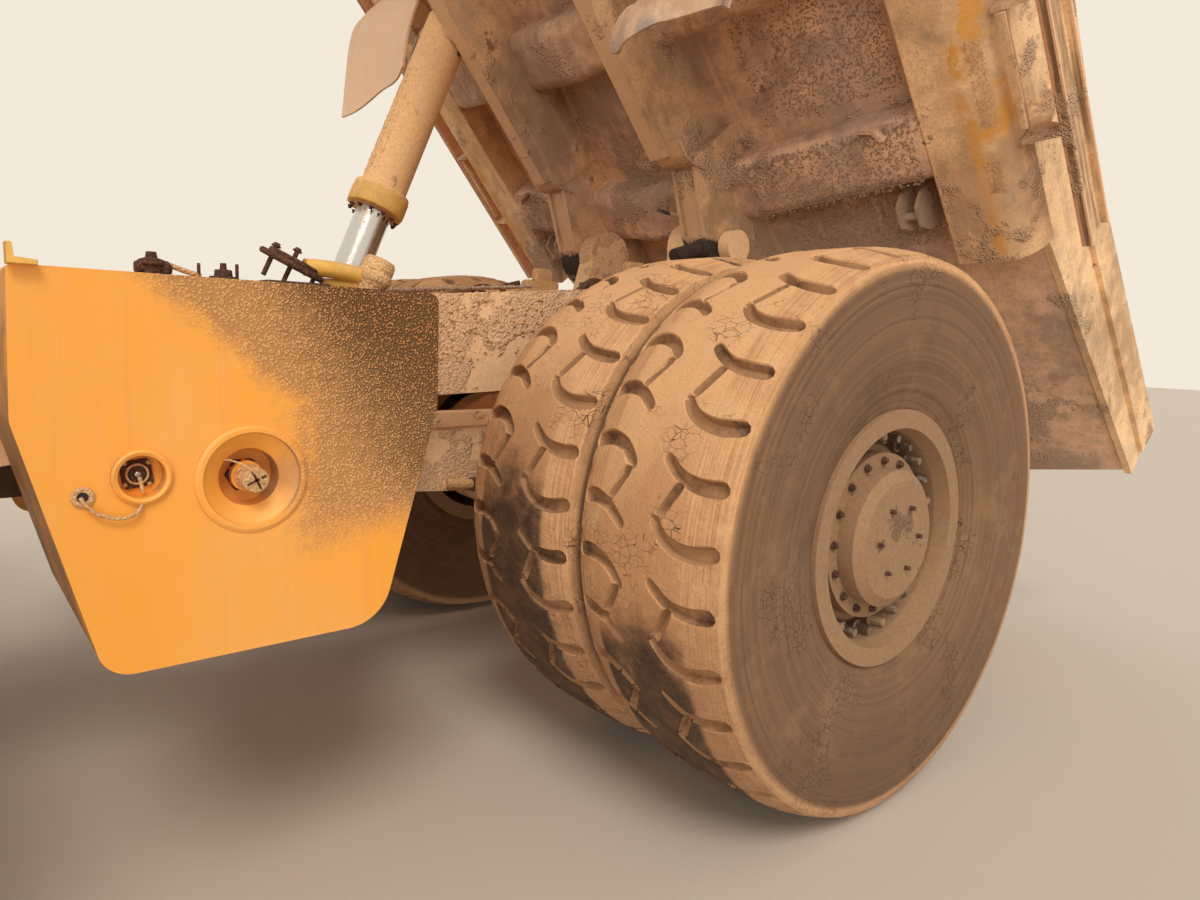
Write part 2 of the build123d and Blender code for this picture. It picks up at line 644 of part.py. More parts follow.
# Cab

SILL_CAB = DECK_Z + FIT
WINDOW_Z = (DECK_Z + 750, DECK_Z + 1450)
SCREEN_Z = (DECK_Z + 600, DECK_Z + 1480)
DOOR_WINDOW = (DECK_Z + 550, DECK_Z + 1450)
CORNER = 70


def cab_walls():
    """Front, rear, right and left walls as separate panels; the left one is open for the door."""
    z0, z1 = SILL_CAB, CAB_TOP_Z - CAB_T
    front = block((CAB_IN, CAB_OUT), (CAB_FRONT_Y, CAB_FRONT_Y + CAB_T), (z0, z1))
    front = front - rounded((CAB_IN + 90, CAB_OUT - 90), (CAB_FRONT_Y - 5, CAB_FRONT_Y + CAB_T + 5), SCREEN_Z,
                            Axis.Y, CORNER)
    rear = block((CAB_IN, CAB_OUT), (CAB_REAR_Y - CAB_T, CAB_REAR_Y), (z0, z1))
    rear = rear - rounded((CAB_IN + 110, CAB_OUT - 110), (CAB_REAR_Y - CAB_T - 5, CAB_REAR_Y + 5), WINDOW_Z,
                          Axis.Y, CORNER)
    y0, y1 = CAB_FRONT_Y + CAB_T + FIT, CAB_REAR_Y - CAB_T - FIT
    right = block((CAB_IN, CAB_IN + CAB_T), (y0, y1), (z0, z1))
    right = right - rounded((CAB_IN - 5, CAB_IN + CAB_T + 5), (y0 + 90, y1 - 90), WINDOW_Z, Axis.X, CORNER)
    post_f = block((CAB_OUT - CAB_T, CAB_OUT), (y0, DOOR_FRONT_Y - CLEAR), (z0, z1))
    post_r = block((CAB_OUT - CAB_T, CAB_OUT), (DOOR_REAR_Y + CLEAR, y1), (z0, z1))
    post_f = post_f - block((CAB_OUT - CAB_T - 5, CAB_OUT + 5), (y0 + 50, DOOR_FRONT_Y - 70), WINDOW_Z)
    for z in DOOR_HINGES:
        lug = block((CAB_OUT - 5, DOOR_HINGE_X + 12), (DOOR_HINGE_Y - 20, DOOR_HINGE_Y + 12),
                    (z - 95, z - 60 - FIT))
        pin = Pos(DOOR_HINGE_X, DOOR_HINGE_Y, z - 15) * Cylinder(HINGE_PIN_R, 150)
        post_f = post_f + lug + pin
    return [front, rear, right, post_f, post_r]


keep("cab_walls", *cab_walls())
roof = rounded((CAB_IN - 30, CAB_OUT + 60), (CAB_FRONT_Y - 120, CAB_REAR_Y + 30),
               (CAB_TOP_Z - CAB_T + FIT, CAB_TOP_Z + 40), Axis.Z, 110)
roof = chamfer(roof.edges().group_by(Axis.Z)[-1], 35)
keep("cab_roof", roof)


def shrunk(span):
    """Both ends of a span moved in by the fit of the glass in its frame."""
    return span[0] + FIT, span[1] - FIT


glass_y = (CAB_FRONT_Y + CAB_T + 90 + FIT, CAB_REAR_Y - CAB_T - 90 - FIT)
vent_y = (CAB_FRONT_Y + CAB_T + 50 + FIT, DOOR_FRONT_Y - 70)
glass = [
    rounded(shrunk((CAB_IN + 90, CAB_OUT - 90)), (CAB_FRONT_Y + 20, CAB_FRONT_Y + 30), shrunk(SCREEN_Z),
            Axis.Y, CORNER - FIT),
    rounded(shrunk((CAB_IN + 110, CAB_OUT - 110)), (CAB_REAR_Y - 30, CAB_REAR_Y - 20), shrunk(WINDOW_Z),
            Axis.Y, CORNER - FIT),
    rounded((CAB_IN + 20, CAB_IN + 30), shrunk(glass_y), shrunk(WINDOW_Z), Axis.X, CORNER - FIT),
    block((CAB_OUT - 30, CAB_OUT - 20), shrunk(vent_y), shrunk(WINDOW_Z)),
]
keep("cab_glass", *glass)
seat_x = (CAB_IN + CAB_OUT) / 2
seat_y = CAB_REAR_Y - 300
dash_y = CAB_FRONT_Y + 350
seat = rounded((seat_x - 270, seat_x + 270), (seat_y - 500, seat_y), (SILL_CAB, SILL_CAB + 560), Axis.Z, 60)
seat = seat + side_plate([(seat_y - 100, SILL_CAB + 500), (seat_y + 30, SILL_CAB + 500),
                          (seat_y + 90, SILL_CAB + 1250), (seat_y - 10, SILL_CAB + 1250)], seat_x - 250,
                          seat_x + 250)
console = side_plate([(CAB_FRONT_Y + CAB_T + FIT, SILL_CAB), (dash_y, SILL_CAB), (dash_y, SILL_CAB + 420),
                      (dash_y - 90, SILL_CAB + 590), (CAB_FRONT_Y + CAB_T + FIT, SILL_CAB + 590)],
                     CAB_IN + CAB_T + FIT, CAB_OUT - CAB_T - FIT)
wheel_centre = (seat_x, dash_y + 290, SILL_CAB + 790)
column = rod_between((seat_x, dash_y - 110, SILL_CAB + 500), wheel_centre, 40)
wheel_plane = Plane(origin=wheel_centre, z_dir=(0, 0.82, 0.57))
wheel = wheel_plane.location * (Torus(215, 18) + Box(430, 60, 25))
keep("cab_seat", seat, fuse([console, column, wheel]))

door = block((CAB_OUT - CAB_T + CLEAR, CAB_OUT + 12), (DOOR_FRONT_Y, DOOR_REAR_Y),
             (SILL_CAB + CLEAR, CAB_TOP_Z - CAB_T - CLEAR))
door_glass_y = (DOOR_FRONT_Y + 90, DOOR_REAR_Y - 90)
door = door - rounded((CAB_OUT - 200, CAB_OUT + 100), door_glass_y, DOOR_WINDOW, Axis.X, CORNER)
hinges = [Pos(DOOR_HINGE_X, DOOR_HINGE_Y, z) * Cylinder(16, 120) for z in DOOR_HINGES]
leaves = [block((CAB_OUT + 12, DOOR_HINGE_X + 5), (DOOR_HINGE_Y, DOOR_FRONT_Y + 60), (z - 40, z + 40))
          for z in DOOR_HINGES]
bores = [Pos(DOOR_HINGE_X, DOOR_HINGE_Y, z) * Cylinder(HINGE_PIN_R + FIT, 130) for z in DOOR_HINGES]
handle = block((CAB_OUT + 10, CAB_OUT + 40), (DOOR_REAR_Y - 70, DOOR_REAR_Y - 40),
               (DECK_Z + 300, DECK_Z + 480))
door = fuse([door, handle] + hinges + leaves)
for bore in bores:
    door = door - bore
keep("cab_door", door)
keep("door_glass", rounded((CAB_OUT - 15, CAB_OUT - 5), shrunk(door_glass_y), shrunk(DOOR_WINDOW),
                           Axis.X, CORNER - FIT))

# Bed, built flat in its own frame and then raised about the hinge

KICK_RUN = TAIL_Y - KICK_Y
KICK_RISE = KICK_RUN * sin(radians(KICK_ANGLE)) / cos(radians(KICK_ANGLE))
tail_floor = FLOOR_Z + KICK_RISE


def raise_bed(shape):
    """From the bed's frame to its place on the parked truck."""
    return Pos(0, HINGE_Y, HINGE_Z) * Rot(-BED_ANGLE, 0, 0) * shape


def floor_half():
    """Left half of the floor: it rises outwards and kicks up behind the axle."""
    plates = []
    for y0, y1, z0, z1 in ((BED_FRONT, KICK_Y, FLOOR_Z, FLOOR_Z), (KICK_Y, TAIL_Y, FLOOR_Z, tail_floor)):
        inner = Plane.YZ * make_face(Polyline(
            (y0, z0), (y1, z1), (y1, z1 + FLOOR_T), (y0, z0 + FLOOR_T), close=True))
        outer = Pos(WALL_X, 0, FLOOR_RISE) * inner
        plates.append(loft([inner, outer]))
    return plates[0] + plates[1]


half = floor_half()
keep("bed_floor", raise_bed(half + mirror(half, about=Plane.YZ)))



def underside(x):
    return FLOOR_Z - FIT + FLOOR_RISE * x / WALL_X


SILL_CREST = SILL_TOP + 100


def bed_sill():
    """Bent sill along the floor's edge, which carries the side wall."""
    face = make_face(FilletPolyline(
        (SILL_IN, underside(SILL_IN)), (SILL_IN, SILL_Z), (SILL_OUT, SILL_Z), (SILL_OUT, SILL_TOP),
        (WALL_X + WALL_T, SILL_CREST), (WALL_X + FIT, SILL_CREST), (WALL_X + FIT, underside(WALL_X)),
        radius=[2, 12, SILL_R, 20, 2, 2, FIT / 2], close=True))
    return Pos(0, KICK_Y, 0) * extrude(Plane.XZ * face, amount=KICK_Y - BED_FRONT)


def bed_wall():
    """Side wall, outer rail on its gussets, top rail and ribs in one welded side."""
    tail_z = tail_floor + FLOOR_RISE + FLOOR_T
    tail_end = TAIL_Y - 60
    foot = SILL_CREST + FIT
    top_line = [(tail_end, TOP_TAIL_Z), (KICK_Y, TOP_KICK_Z), (BED_FRONT, TOP_FRONT_Z)]
    wall = side_plate([(BED_FRONT, foot), (KICK_Y + FIT, foot), (KICK_Y + FIT, underside(WALL_X)),
                       (TAIL_Y, tail_z - 60)] + top_line, WALL_X + FIT, WALL_X + WALL_T)
    x0, x1 = SIDE_RAIL_X, SIDE_RAIL_X + SIDE_RAIL_W
    z0, z1 = SIDE_RAIL_Z, SIDE_RAIL_Z + SIDE_RAIL_H
    side_rail = cross_plate([(x0, z0), (x1, z0), (x1, z0 + SIDE_RAIL_T), (x0 + SIDE_RAIL_T, z0 + SIDE_RAIL_T),
                             (x0 + SIDE_RAIL_T, z1 - SIDE_RAIL_T), (x1, z1 - SIDE_RAIL_T), (x1, z1),
                             (x0, z1)],
                            BED_FRONT, KICK_Y)
    top_rail = side_plate([(y, z - TOP_RAIL_H) for y, z in reversed(top_line)] + top_line,
                          WALL_X + WALL_T - 5, TOP_RAIL_OUT)
    pieces = [wall, side_rail, top_rail]
    rib_y = RIB_FIRST
    while rib_y > BED_FRONT + 100:
        high = TOP_FRONT_Z + (rib_y - BED_FRONT) * (TOP_KICK_Z - TOP_FRONT_Z) / (KICK_Y - BED_FRONT)
        rib_top = high - TOP_RAIL_H + 5
        rib = cross_plate([(SILL_OUT + 2 * FIT, z0 - 30), (x0 + 5, z0), (x0 + 5, z0 + 60),
                           (SILL_OUT + 70, SILL_TOP + 20),
                           (TOP_RAIL_OUT - 5, rib_top), (WALL_X + WALL_T - 5, rib_top),
                           (WALL_X + WALL_T - 5, SILL_CREST + 2 * FIT),
                           (WALL_X + WALL_T + 2 * FIT, SILL_CREST + 2 * FIT),
                           (SILL_OUT + 2 * FIT, SILL_TOP + 2 * FIT)],
                          rib_y - RIB_T / 2, rib_y + RIB_T / 2)
        pieces.append(rib)
        rib_y -= RIB_PITCH
    return fuse(pieces)


keep("bed_sides", *[raise_bed(s) for s in both(bed_wall()) + both(bed_sill())])

front_wall = block((-WALL_X, WALL_X), (BED_FRONT - 30, BED_FRONT), (FLOOR_Z, CANOPY_Z + 5))
canopy = side_plate([(BED_FRONT, CANOPY_Z), (BED_FRONT - 400, CANOPY_Z), (CANOPY_FRONT, CANOPY_Z + 60),
                     (CANOPY_FRONT, CANOPY_Z + 60 + CANOPY_T), (BED_FRONT, CANOPY_Z + CANOPY_T)], -2000, 2000)
stiffeners = [block((-WALL_X, WALL_X), (BED_FRONT - 110, BED_FRONT - 25), (z, z + 120)) for z in (600, 1100,
                                                                                                  1600)]
canopy_ribs = []
for x in (-1900, -960, 0, 960, 1900):
    canopy_ribs.append(side_plate([(BED_FRONT, CANOPY_Z + CANOPY_T - 5),
                                   (CANOPY_FRONT, CANOPY_Z + 60 + CANOPY_T - 5),
                                   (CANOPY_FRONT, CANOPY_Z + 150 + CANOPY_T),
                                   (BED_FRONT, CANOPY_Z + 110 + CANOPY_T)],
                                  x - 40, x + 40))
keep("bed_front", raise_bed(fuse([front_wall, canopy] + stiffeners + canopy_ribs)))


under_floor = FLOOR_Z + FLOOR_RISE
load_space = cross_plate([(0, FLOOR_Z - FIT), (WALL_X, under_floor - FIT), (WALL_X, 2000), (0, 2000)],
                         BED_FRONT - 500, KICK_Y + 600)
TRUNNION_R = 45
EAR_T = 30
ear_in = HOIST_X - BARREL_R - CLEAR
ear_out = HOIST_X + BARREL_R + CLEAR


def hoist_ear(x0, x1):
    """Plate that carries one end of the hoist's upper pin."""
    plate = side_plate([(HOIST_TOP_Y - 170, under_floor), (HOIST_TOP_Y - 80, HOIST_TOP_Z - 30),
                        (HOIST_TOP_Y + 80, HOIST_TOP_Z - 30), (HOIST_TOP_Y + 170, under_floor)], x0, x1)
    return plate + x_disc(x0, x1, HOIST_TOP_Y, HOIST_TOP_Z, 88)


hoist_bore = x_disc(ear_in - EAR_T, ear_out + EAR_T + 1, HOIST_TOP_Y, HOIST_TOP_Z, TRUNNION_R + FIT)


NOTCH_R = 85
CHANNEL_WALL = 24
CHANNEL_DEPTH = 26
STUB_X = 605
STUB_R = 38


def bed_rail(stub):
    """Longitudinal beam under the floor, notched down to the channelled hinge arm."""
    beam = side_plate([(BED_FRONT + 40, BED_RAIL_Z), (BED_RAIL_END, BED_RAIL_Z), (BED_RAIL_END + 70, 60),
                       (BED_RAIL_END + 70, under_floor), (BED_FRONT + 40, under_floor)],
                      BED_RAIL_X - BED_RAIL_W / 2, BED_RAIL_X + BED_RAIL_W / 2)
    beam = beam - x_disc(BED_RAIL_X - BED_RAIL_W, BED_RAIL_X + BED_RAIL_W, BED_RAIL_END + NOTCH_R * 0.75,
                         BED_RAIL_Z, NOTCH_R)
    arm_foot = [(BED_RAIL_END + 60, 40), (-140, -110), (100, -110)]
    arm = side_plate(arm_foot + [(180, 60), (KICK_Y, FLOOR_Z - 20), (KICK_Y, under_floor),
                                 (BED_RAIL_END + 60, under_floor)], ARM_IN, ARM_OUT)
    channel = side_plate([(y, z + d) for y, z, d in (
        (BED_RAIL_END, 62, -40), (-140, -110, -40), (-140, -110, CHANNEL_DEPTH),
        (BED_RAIL_END, 62, CHANNEL_DEPTH))],
                         ARM_IN + CHANNEL_WALL, ARM_OUT - CHANNEL_WALL)
    boss = x_disc(ARM_IN, ARM_OUT, 0, 0, EAR_R)
    bore = x_disc(ARM_IN - 5, ARM_OUT + 5, 0, 0, PIN_R + FIT)
    inner_ear = hoist_ear(BED_RAIL_X, ear_in)
    pieces = [beam, arm - channel, boss, inner_ear]
    if stub:
        pieces.append(rod_between((STUB_X, -78, -104), (STUB_X, -174, -329), STUB_R))
        pieces.append(rod_between((STUB_X, -84, -118), (STUB_X, -104, -165), STUB_R + 10))
    return fuse(pieces) - bore - hoist_bore - load_space


outer_ear = hoist_ear(ear_out, ear_out + EAR_T) - hoist_bore - load_space
right_rail = mirror(bed_rail(False), about=Plane.YZ)
keep("bed_rails", *[raise_bed(s) for s in [bed_rail(True), right_rail] + both(outer_ear)])

BOLSTERS = [
    # y of the middle
    -170, -1170, -2170, -3170, -3725,
]
BOLSTER_W = 340
BOLSTER_DEPTH = 190


def bolster(y, x0, x1):
    """Cross beam under one half of the floor, as deep all along, with rounded lower edges."""
    ends = []
    for x in (x0, x1):
        base = FLOOR_Z - FIT - BOLSTER_DEPTH + FLOOR_RISE * x / WALL_X
        outline = FilletPolyline(
            (y - BOLSTER_W / 2, under_floor), (y - BOLSTER_W / 2, base), (y + BOLSTER_W / 2, base),
            (y + BOLSTER_W / 2, under_floor), radius=[2, 80, 80, 2], close=True)
        ends.append(Pos(x, 0, 0) * (Plane.YZ * make_face(outline)))
    return loft(ends) - load_space


# Rubber flaps hang from a bar behind the third bolster, in front of the inner twin tyres
FLAP_X = (ear_out + EAR_T + 15, 1500)
FLAP_Y = -1830
FLAP_Z = 260
FLAP_BAR_R = 22
FLAP_LEN = 1000
FLAP_T = 16


def flap_hanger(x):
    """Plate behind the bolster with the hole for the flap's bar."""
    plate = block((x, x + 20), (BOLSTERS[2] + BOLSTER_W / 2 - 5, FLAP_Y + 45), (FLAP_Z - 45, under_floor))
    return plate - x_disc(x - 1, x + 21, FLAP_Y, FLAP_Z, FLAP_BAR_R + FIT)


inner_rail = BED_RAIL_X - BED_RAIL_W / 2
outer_rail = BED_RAIL_X + BED_RAIL_W / 2
bolsters = []
for y in BOLSTERS:
    inner_end = min(inner_rail, ARM_IN) if y > BED_RAIL_END else inner_rail
    outer_start = ARM_OUT if y > BED_RAIL_END else outer_rail
    outer = bolster(y, outer_start + FIT, SILL_IN - FIT)
    if y == BOLSTERS[2]:
        outer = fuse([outer, flap_hanger(FLAP_X[0] - 25), flap_hanger(FLAP_X[1] + 5)]) - load_space
    bolsters.append(fuse(both(bolster(y, 0, inner_end - FIT))))
    bolsters += both(outer)
keep("bed_bolsters", *[raise_bed(b) for b in bolsters])


def ejector():
    """Rock ejector bracket: two ears and a bolt above the gap between the twin tyres."""
    x = (REAR_INNER_X + rear_outer_x) / 2
    low = SILL_Z - 25
    ears = [side_plate([(40, under_floor), (60, low + 70), (100, low), (210, low), (270, low + 70),
                        (290, under_floor)],
                       x + d, x + d + 20) for d in (-60, 40)]
    bolt = x_disc(x - 60, x + 60, 170, low + 40, 20)
    return fuse(ears + [bolt]) - load_space


keep("rock_ejectors", *[raise_bed(e) for e in both(ejector())])


def in_place(y, z):
    """Place on the parked truck of a point given in the bed's frame."""
    turn = radians(BED_ANGLE)
    return HINGE_Y + y * cos(turn) + z * sin(turn), HINGE_Z - y * sin(turn) + z * cos(turn)


flap_y, flap_z = in_place(FLAP_Y, FLAP_Z)
flap = block(FLAP_X, (flap_y - FLAP_T / 2, flap_y + FLAP_T / 2), (flap_z - FLAP_LEN, flap_z))
flap_bar = x_disc(FLAP_X[0] - 30, FLAP_X[1] + 30, flap_y, flap_z, FLAP_BAR_R)
keep("bed_flaps", *both(flap + flap_bar))

# Hoist on the right side; the left one is missing on this truck

top_y, top_z = in_place(HOIST_TOP_Y, HOIST_TOP_Z)
hoist_len = hypot(top_y - HOIST_FOOT_Y, top_z - HOIST_FOOT_Z)
hoist_line = Plane(origin=(-HOIST_X, top_y, top_z), x_dir=(1, 0, 0),
                   z_dir=(0, HOIST_FOOT_Y - top_y, HOIST_FOOT_Z - top_z))
BORE_TOP = 60
STAGE_LEN = 1050
STAGE_OUT = 680
ROD_START = 1385
EYE_R = 105


def along(z0, z1, radius):
    """Round piece on the hoist's own line, from its upper pin."""
    return Pos(0, 0, z0) * Cylinder(radius, z1 - z0, align=(Align.CENTER, Align.CENTER, Align.MIN))


barrel = revolve(Plane.XZ * make_face(Polyline(
    (0, -95), (BARREL_R - 40, -95), (BARREL_R, -60), (BARREL_R, BARREL_LEN - 135),
    (GLAND_R, BARREL_LEN - 125),
    (GLAND_R, BARREL_LEN - 12), (GLAND_R - 14, BARREL_LEN), (STAGE_R + FIT, BARREL_LEN),
    (STAGE_R + FIT, BARREL_LEN - 70), (STAGE_R + 5, BARREL_LEN - 75), (STAGE_R + 5, BORE_TOP), (0, BORE_TOP),
    close=True)), Axis.Z)
trunnion = Rot(0, 90, 0) * Cylinder(TRUNNION_R, 2 * (BARREL_R + CLEAR + EAR_T - 5))
barrel = barrel + trunnion
stage_start = BARREL_LEN + STAGE_OUT - STAGE_LEN
stage = along(stage_start, BARREL_LEN + STAGE_OUT, STAGE_R)
stage = stage - along(stage_start - 1, BARREL_LEN + STAGE_OUT - 60, ROD_R + 5)
stage = stage - along(BARREL_LEN + STAGE_OUT - 70, BARREL_LEN + STAGE_OUT + 1, ROD_R + FIT)
rod = along(ROD_START, hoist_len - 60, ROD_R)
rod = rod + Pos(0, 0, hoist_len) * Rot(0, 90, 0) * Cylinder(EYE_R, HOIST_EYE_W)
pin_cap = Pos(0, 0, hoist_len) * Rot(0, 90, 0) * Cylinder(45, HOIST_PIN_W)
keep("hoist_barrel", hoist_line.location * barrel)
keep("hoist_stage", hoist_line.location * stage)
keep("hoist_rod", hoist_line.location * (rod + pin_cap))

for name, shape in NODES.items():
    export_step(Pos(0, ORIGIN_BEHIND, 0) * shape, "parts/" + name + ".step")
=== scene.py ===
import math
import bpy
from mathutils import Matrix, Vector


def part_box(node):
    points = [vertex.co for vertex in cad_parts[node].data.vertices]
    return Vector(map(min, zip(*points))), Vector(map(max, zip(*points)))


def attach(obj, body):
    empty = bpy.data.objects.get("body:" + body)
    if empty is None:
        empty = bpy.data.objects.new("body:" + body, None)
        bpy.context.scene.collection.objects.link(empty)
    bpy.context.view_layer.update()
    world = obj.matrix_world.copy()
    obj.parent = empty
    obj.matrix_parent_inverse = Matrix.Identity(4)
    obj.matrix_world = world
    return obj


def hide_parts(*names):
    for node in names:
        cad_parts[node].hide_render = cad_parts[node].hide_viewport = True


bl_info = {
    "name": "Off-Highway Dump Truck",
    "version": (1, 0, 0),
    "blender": (4, 5, 0),
    "location": "View3D > Sidebar > Dump Truck",
    "description": "Dusty rigid dump truck with raised bed, dressed over its packed frame",
    "category": "Object",
}

import bmesh
import bpy
from mathutils import Matrix, Vector
from mathutils.geometry import delaunay_2d_cdt

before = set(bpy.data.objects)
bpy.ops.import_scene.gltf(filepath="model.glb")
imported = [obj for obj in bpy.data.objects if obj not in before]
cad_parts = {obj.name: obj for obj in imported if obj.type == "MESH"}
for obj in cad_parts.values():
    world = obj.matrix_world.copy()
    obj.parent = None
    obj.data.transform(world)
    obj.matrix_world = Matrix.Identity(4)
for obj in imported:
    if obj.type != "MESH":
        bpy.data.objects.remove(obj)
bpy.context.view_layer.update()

# Places that the pieces share, in metres: +Y towards the tail, +X to the truck's left
REAR_AXLE_Y = 1.928
FRONT_AXLE_Y = -2.262
AXLE_Z = 1.080
TYRE_R = 1.080
REAR_INNER_X = 1.100
REAR_OUTER_X = 1.816
FRONT_WHEEL_X = 1.602
HINGE = Vector((0, 2.528, 2.300))
BED_ANGLE = math.radians(50)
TANK_X = 1.500
TANK_TOP = 1.900
DECK_TOP = 2.398
SIDEWAYS = Vector((1, 0, 0))
FORWARD = Vector((0, -1, 0))
BACKWARD = Vector((0, 1, 0))
UP = Vector((0, 0, 1))
UPRIGHT = Matrix.Rotation(math.pi / 2, 4, "X")
ACROSS = Matrix.Rotation(math.pi / 2, 4, "Z") @ UPRIGHT
FACING_LEFT = Matrix.Rotation(math.pi / 2, 4, "Y")
CAMERA_PLACE = Vector((3.66619, -0.86220, 1.78541))
CAMERA_RIGHT = Vector((0.63965925, 0.76779482, 0.03643011))
CAMERA_UP = Vector((-0.12657227, 0.05846462, 0.99023298))
CAMERA_AHEAD = Vector((-0.75816588, 0.63802273, -0.13457897))


# Node trees


class NodeWriter:
    """Adds nodes to a tree; the helpers after set return the socket that they end in."""

    def add(self, kind, settings=None, **inputs):
        made = self.tree.nodes.new(kind)
        for key, value in (settings or {}).items():
            setattr(made, key, value)
        for key, value in inputs.items():
            self.set(made.inputs[key.replace("_", " ")], value)
        return made

    def set(self, socket, value):
        """Links or sets a socket; a word is one of the tree's own named inputs."""
        if isinstance(value, str):
            self.tree.links.new(self.start.outputs[value], socket)
        elif isinstance(value, bpy.types.NodeSocket):
            self.tree.links.new(value, socket)
        elif isinstance(value, (tuple, list)) and len(value) == 3 and socket.type == "RGBA":
            socket.default_value = (*value, 1)
        else:
            socket.default_value = value

    def math(self, operation, a, b=0.0, clamp=False):
        made = self.add("ShaderNodeMath", {"operation": operation, "use_clamp": clamp})
        self.set(made.inputs[0], a)
        self.set(made.inputs[1], b)
        return made.outputs[0]

    def sum(self, first, *rest):
        for value in rest:
            first = self.math("ADD", first, value)
        return first

    def times(self, first, *rest):
        for value in rest:
            first = self.math("MULTIPLY", first, value)
        return first

    def minus(self, a, b):
        return self.math("SUBTRACT", a, b)

    def size(self, a):
        return self.math("ABSOLUTE", a)

    def step(self, value, low, high):
        """0 below low, 1 above high, smooth between them."""
        made = self.add("ShaderNodeMapRange", {"interpolation_type": "SMOOTHSTEP"}, Value=value, From_Min=low,
                        From_Max=high)
        return made.outputs[0]


class Finish(NodeWriter):
    """Writes one material's nodes."""

    def __init__(self, name):
        self.material = bpy.data.materials.new(name)
        self.material.use_nodes = True
        self.tree = self.material.node_tree
        self.tree.nodes.clear()
        self.place = self.add("ShaderNodeTexCoord").outputs["Object"]

    def mapped(self, scale=(1, 1, 1), location=(0, 0, 0), vector=None):
        made = self.add("ShaderNodeMapping", Vector=vector or self.place)
        made.inputs["Scale"].default_value = scale
        made.inputs["Location"].default_value = location
        return made.outputs[0]

    def noise(self, scale, detail=4.0, rough=0.55, vector=None, at=None):
        """Noise over the vector, or over the place moved by at."""
        if at:
            vector = self.mapped(location=at)
        made = self.add("ShaderNodeTexNoise", Vector=vector or self.place, Scale=scale, Detail=detail,
                        Roughness=rough)
        return made.outputs[0]

    def cells(self, scale, feature="F1", vector=None):
        made = self.add("ShaderNodeTexVoronoi", {"feature": feature}, Vector=vector or self.place, Scale=scale)
        return made.outputs["Distance"]

    def mix(self, share, a, b):
        made = self.add("ShaderNodeMix", {"data_type": "RGBA"})
        self.set(made.inputs["Factor"], share)
        self.set(made.inputs[6], a)
        self.set(made.inputs[7], b)
        return made.outputs[2]

    def blend(self, share, a, b):
        made = self.add("ShaderNodeMix", {"data_type": "FLOAT"})
        self.set(made.inputs["Factor"], share)
        self.set(made.inputs[2], a)
        self.set(made.inputs[3], b)
        return made.outputs[0]

    def axes(self, vector=None):
        """Its three parts; the place itself where no vector is given."""
        return self.add("ShaderNodeSeparateXYZ", Vector=vector or self.place).outputs

    def facing(self):
        """The surface's own normal, as x, y and z."""
        return self.axes(self.add("ShaderNodeTexCoord").outputs["Normal"])

    def vector(self, operation, a, b=None, scale=None):
        made = self.add("ShaderNodeVectorMath", {"operation": operation})
        self.set(made.inputs[0], a)
        if b is not None:
            self.set(made.inputs[1], b)
        if scale is not None:
            self.set(made.inputs["Scale"], scale)
        return made.outputs["Value" if operation in ("LENGTH", "DOT_PRODUCT") else "Vector"]

    def streak(self, place, points, half):
        """1 along a line of points in a plane, fading at its ragged edge."""
        near = None
        for a, b in zip(points, points[1:]):
            run = Vector((b[0] - a[0], b[1] - a[1], 0))
            arm = self.vector("SUBTRACT", place, (a[0], a[1], 0.0))
            share = self.math("DIVIDE", self.vector("DOT_PRODUCT", arm, tuple(run)), run.length_squared, True)
            gap = self.vector("LENGTH", self.vector("SUBTRACT", arm, self.vector("SCALE", tuple(run), scale=share)))
            near = gap if near is None else self.math("MINIMUM", near, gap)
        return self.step(near, half * 1.15, half * 0.75)

    def bump(self, height, distance, strength=1.0, normal=None):
        made = self.add("ShaderNodeBump", Height=height, Distance=distance, Strength=strength)
        if normal is not None:
            self.set(made.inputs["Normal"], normal)
        return made.outputs[0]

    def close(self, colour, roughness, normal=None, metallic=0.0, **more):
        shader = self.add("ShaderNodeBsdfPrincipled")
        self.set(shader.inputs["Base Color"], colour)
        self.set(shader.inputs["Roughness"], roughness)
        self.set(shader.inputs["Metallic"], metallic)
        if normal is not None:
            self.set(shader.inputs["Normal"], normal)
        for key, value in more.items():
            self.set(shader.inputs[key.replace("_", " ")], value)
        end = self.add("ShaderNodeOutputMaterial", Surface=shader.outputs[0])
        self.material["maker_end"] = end.name
        return self.material


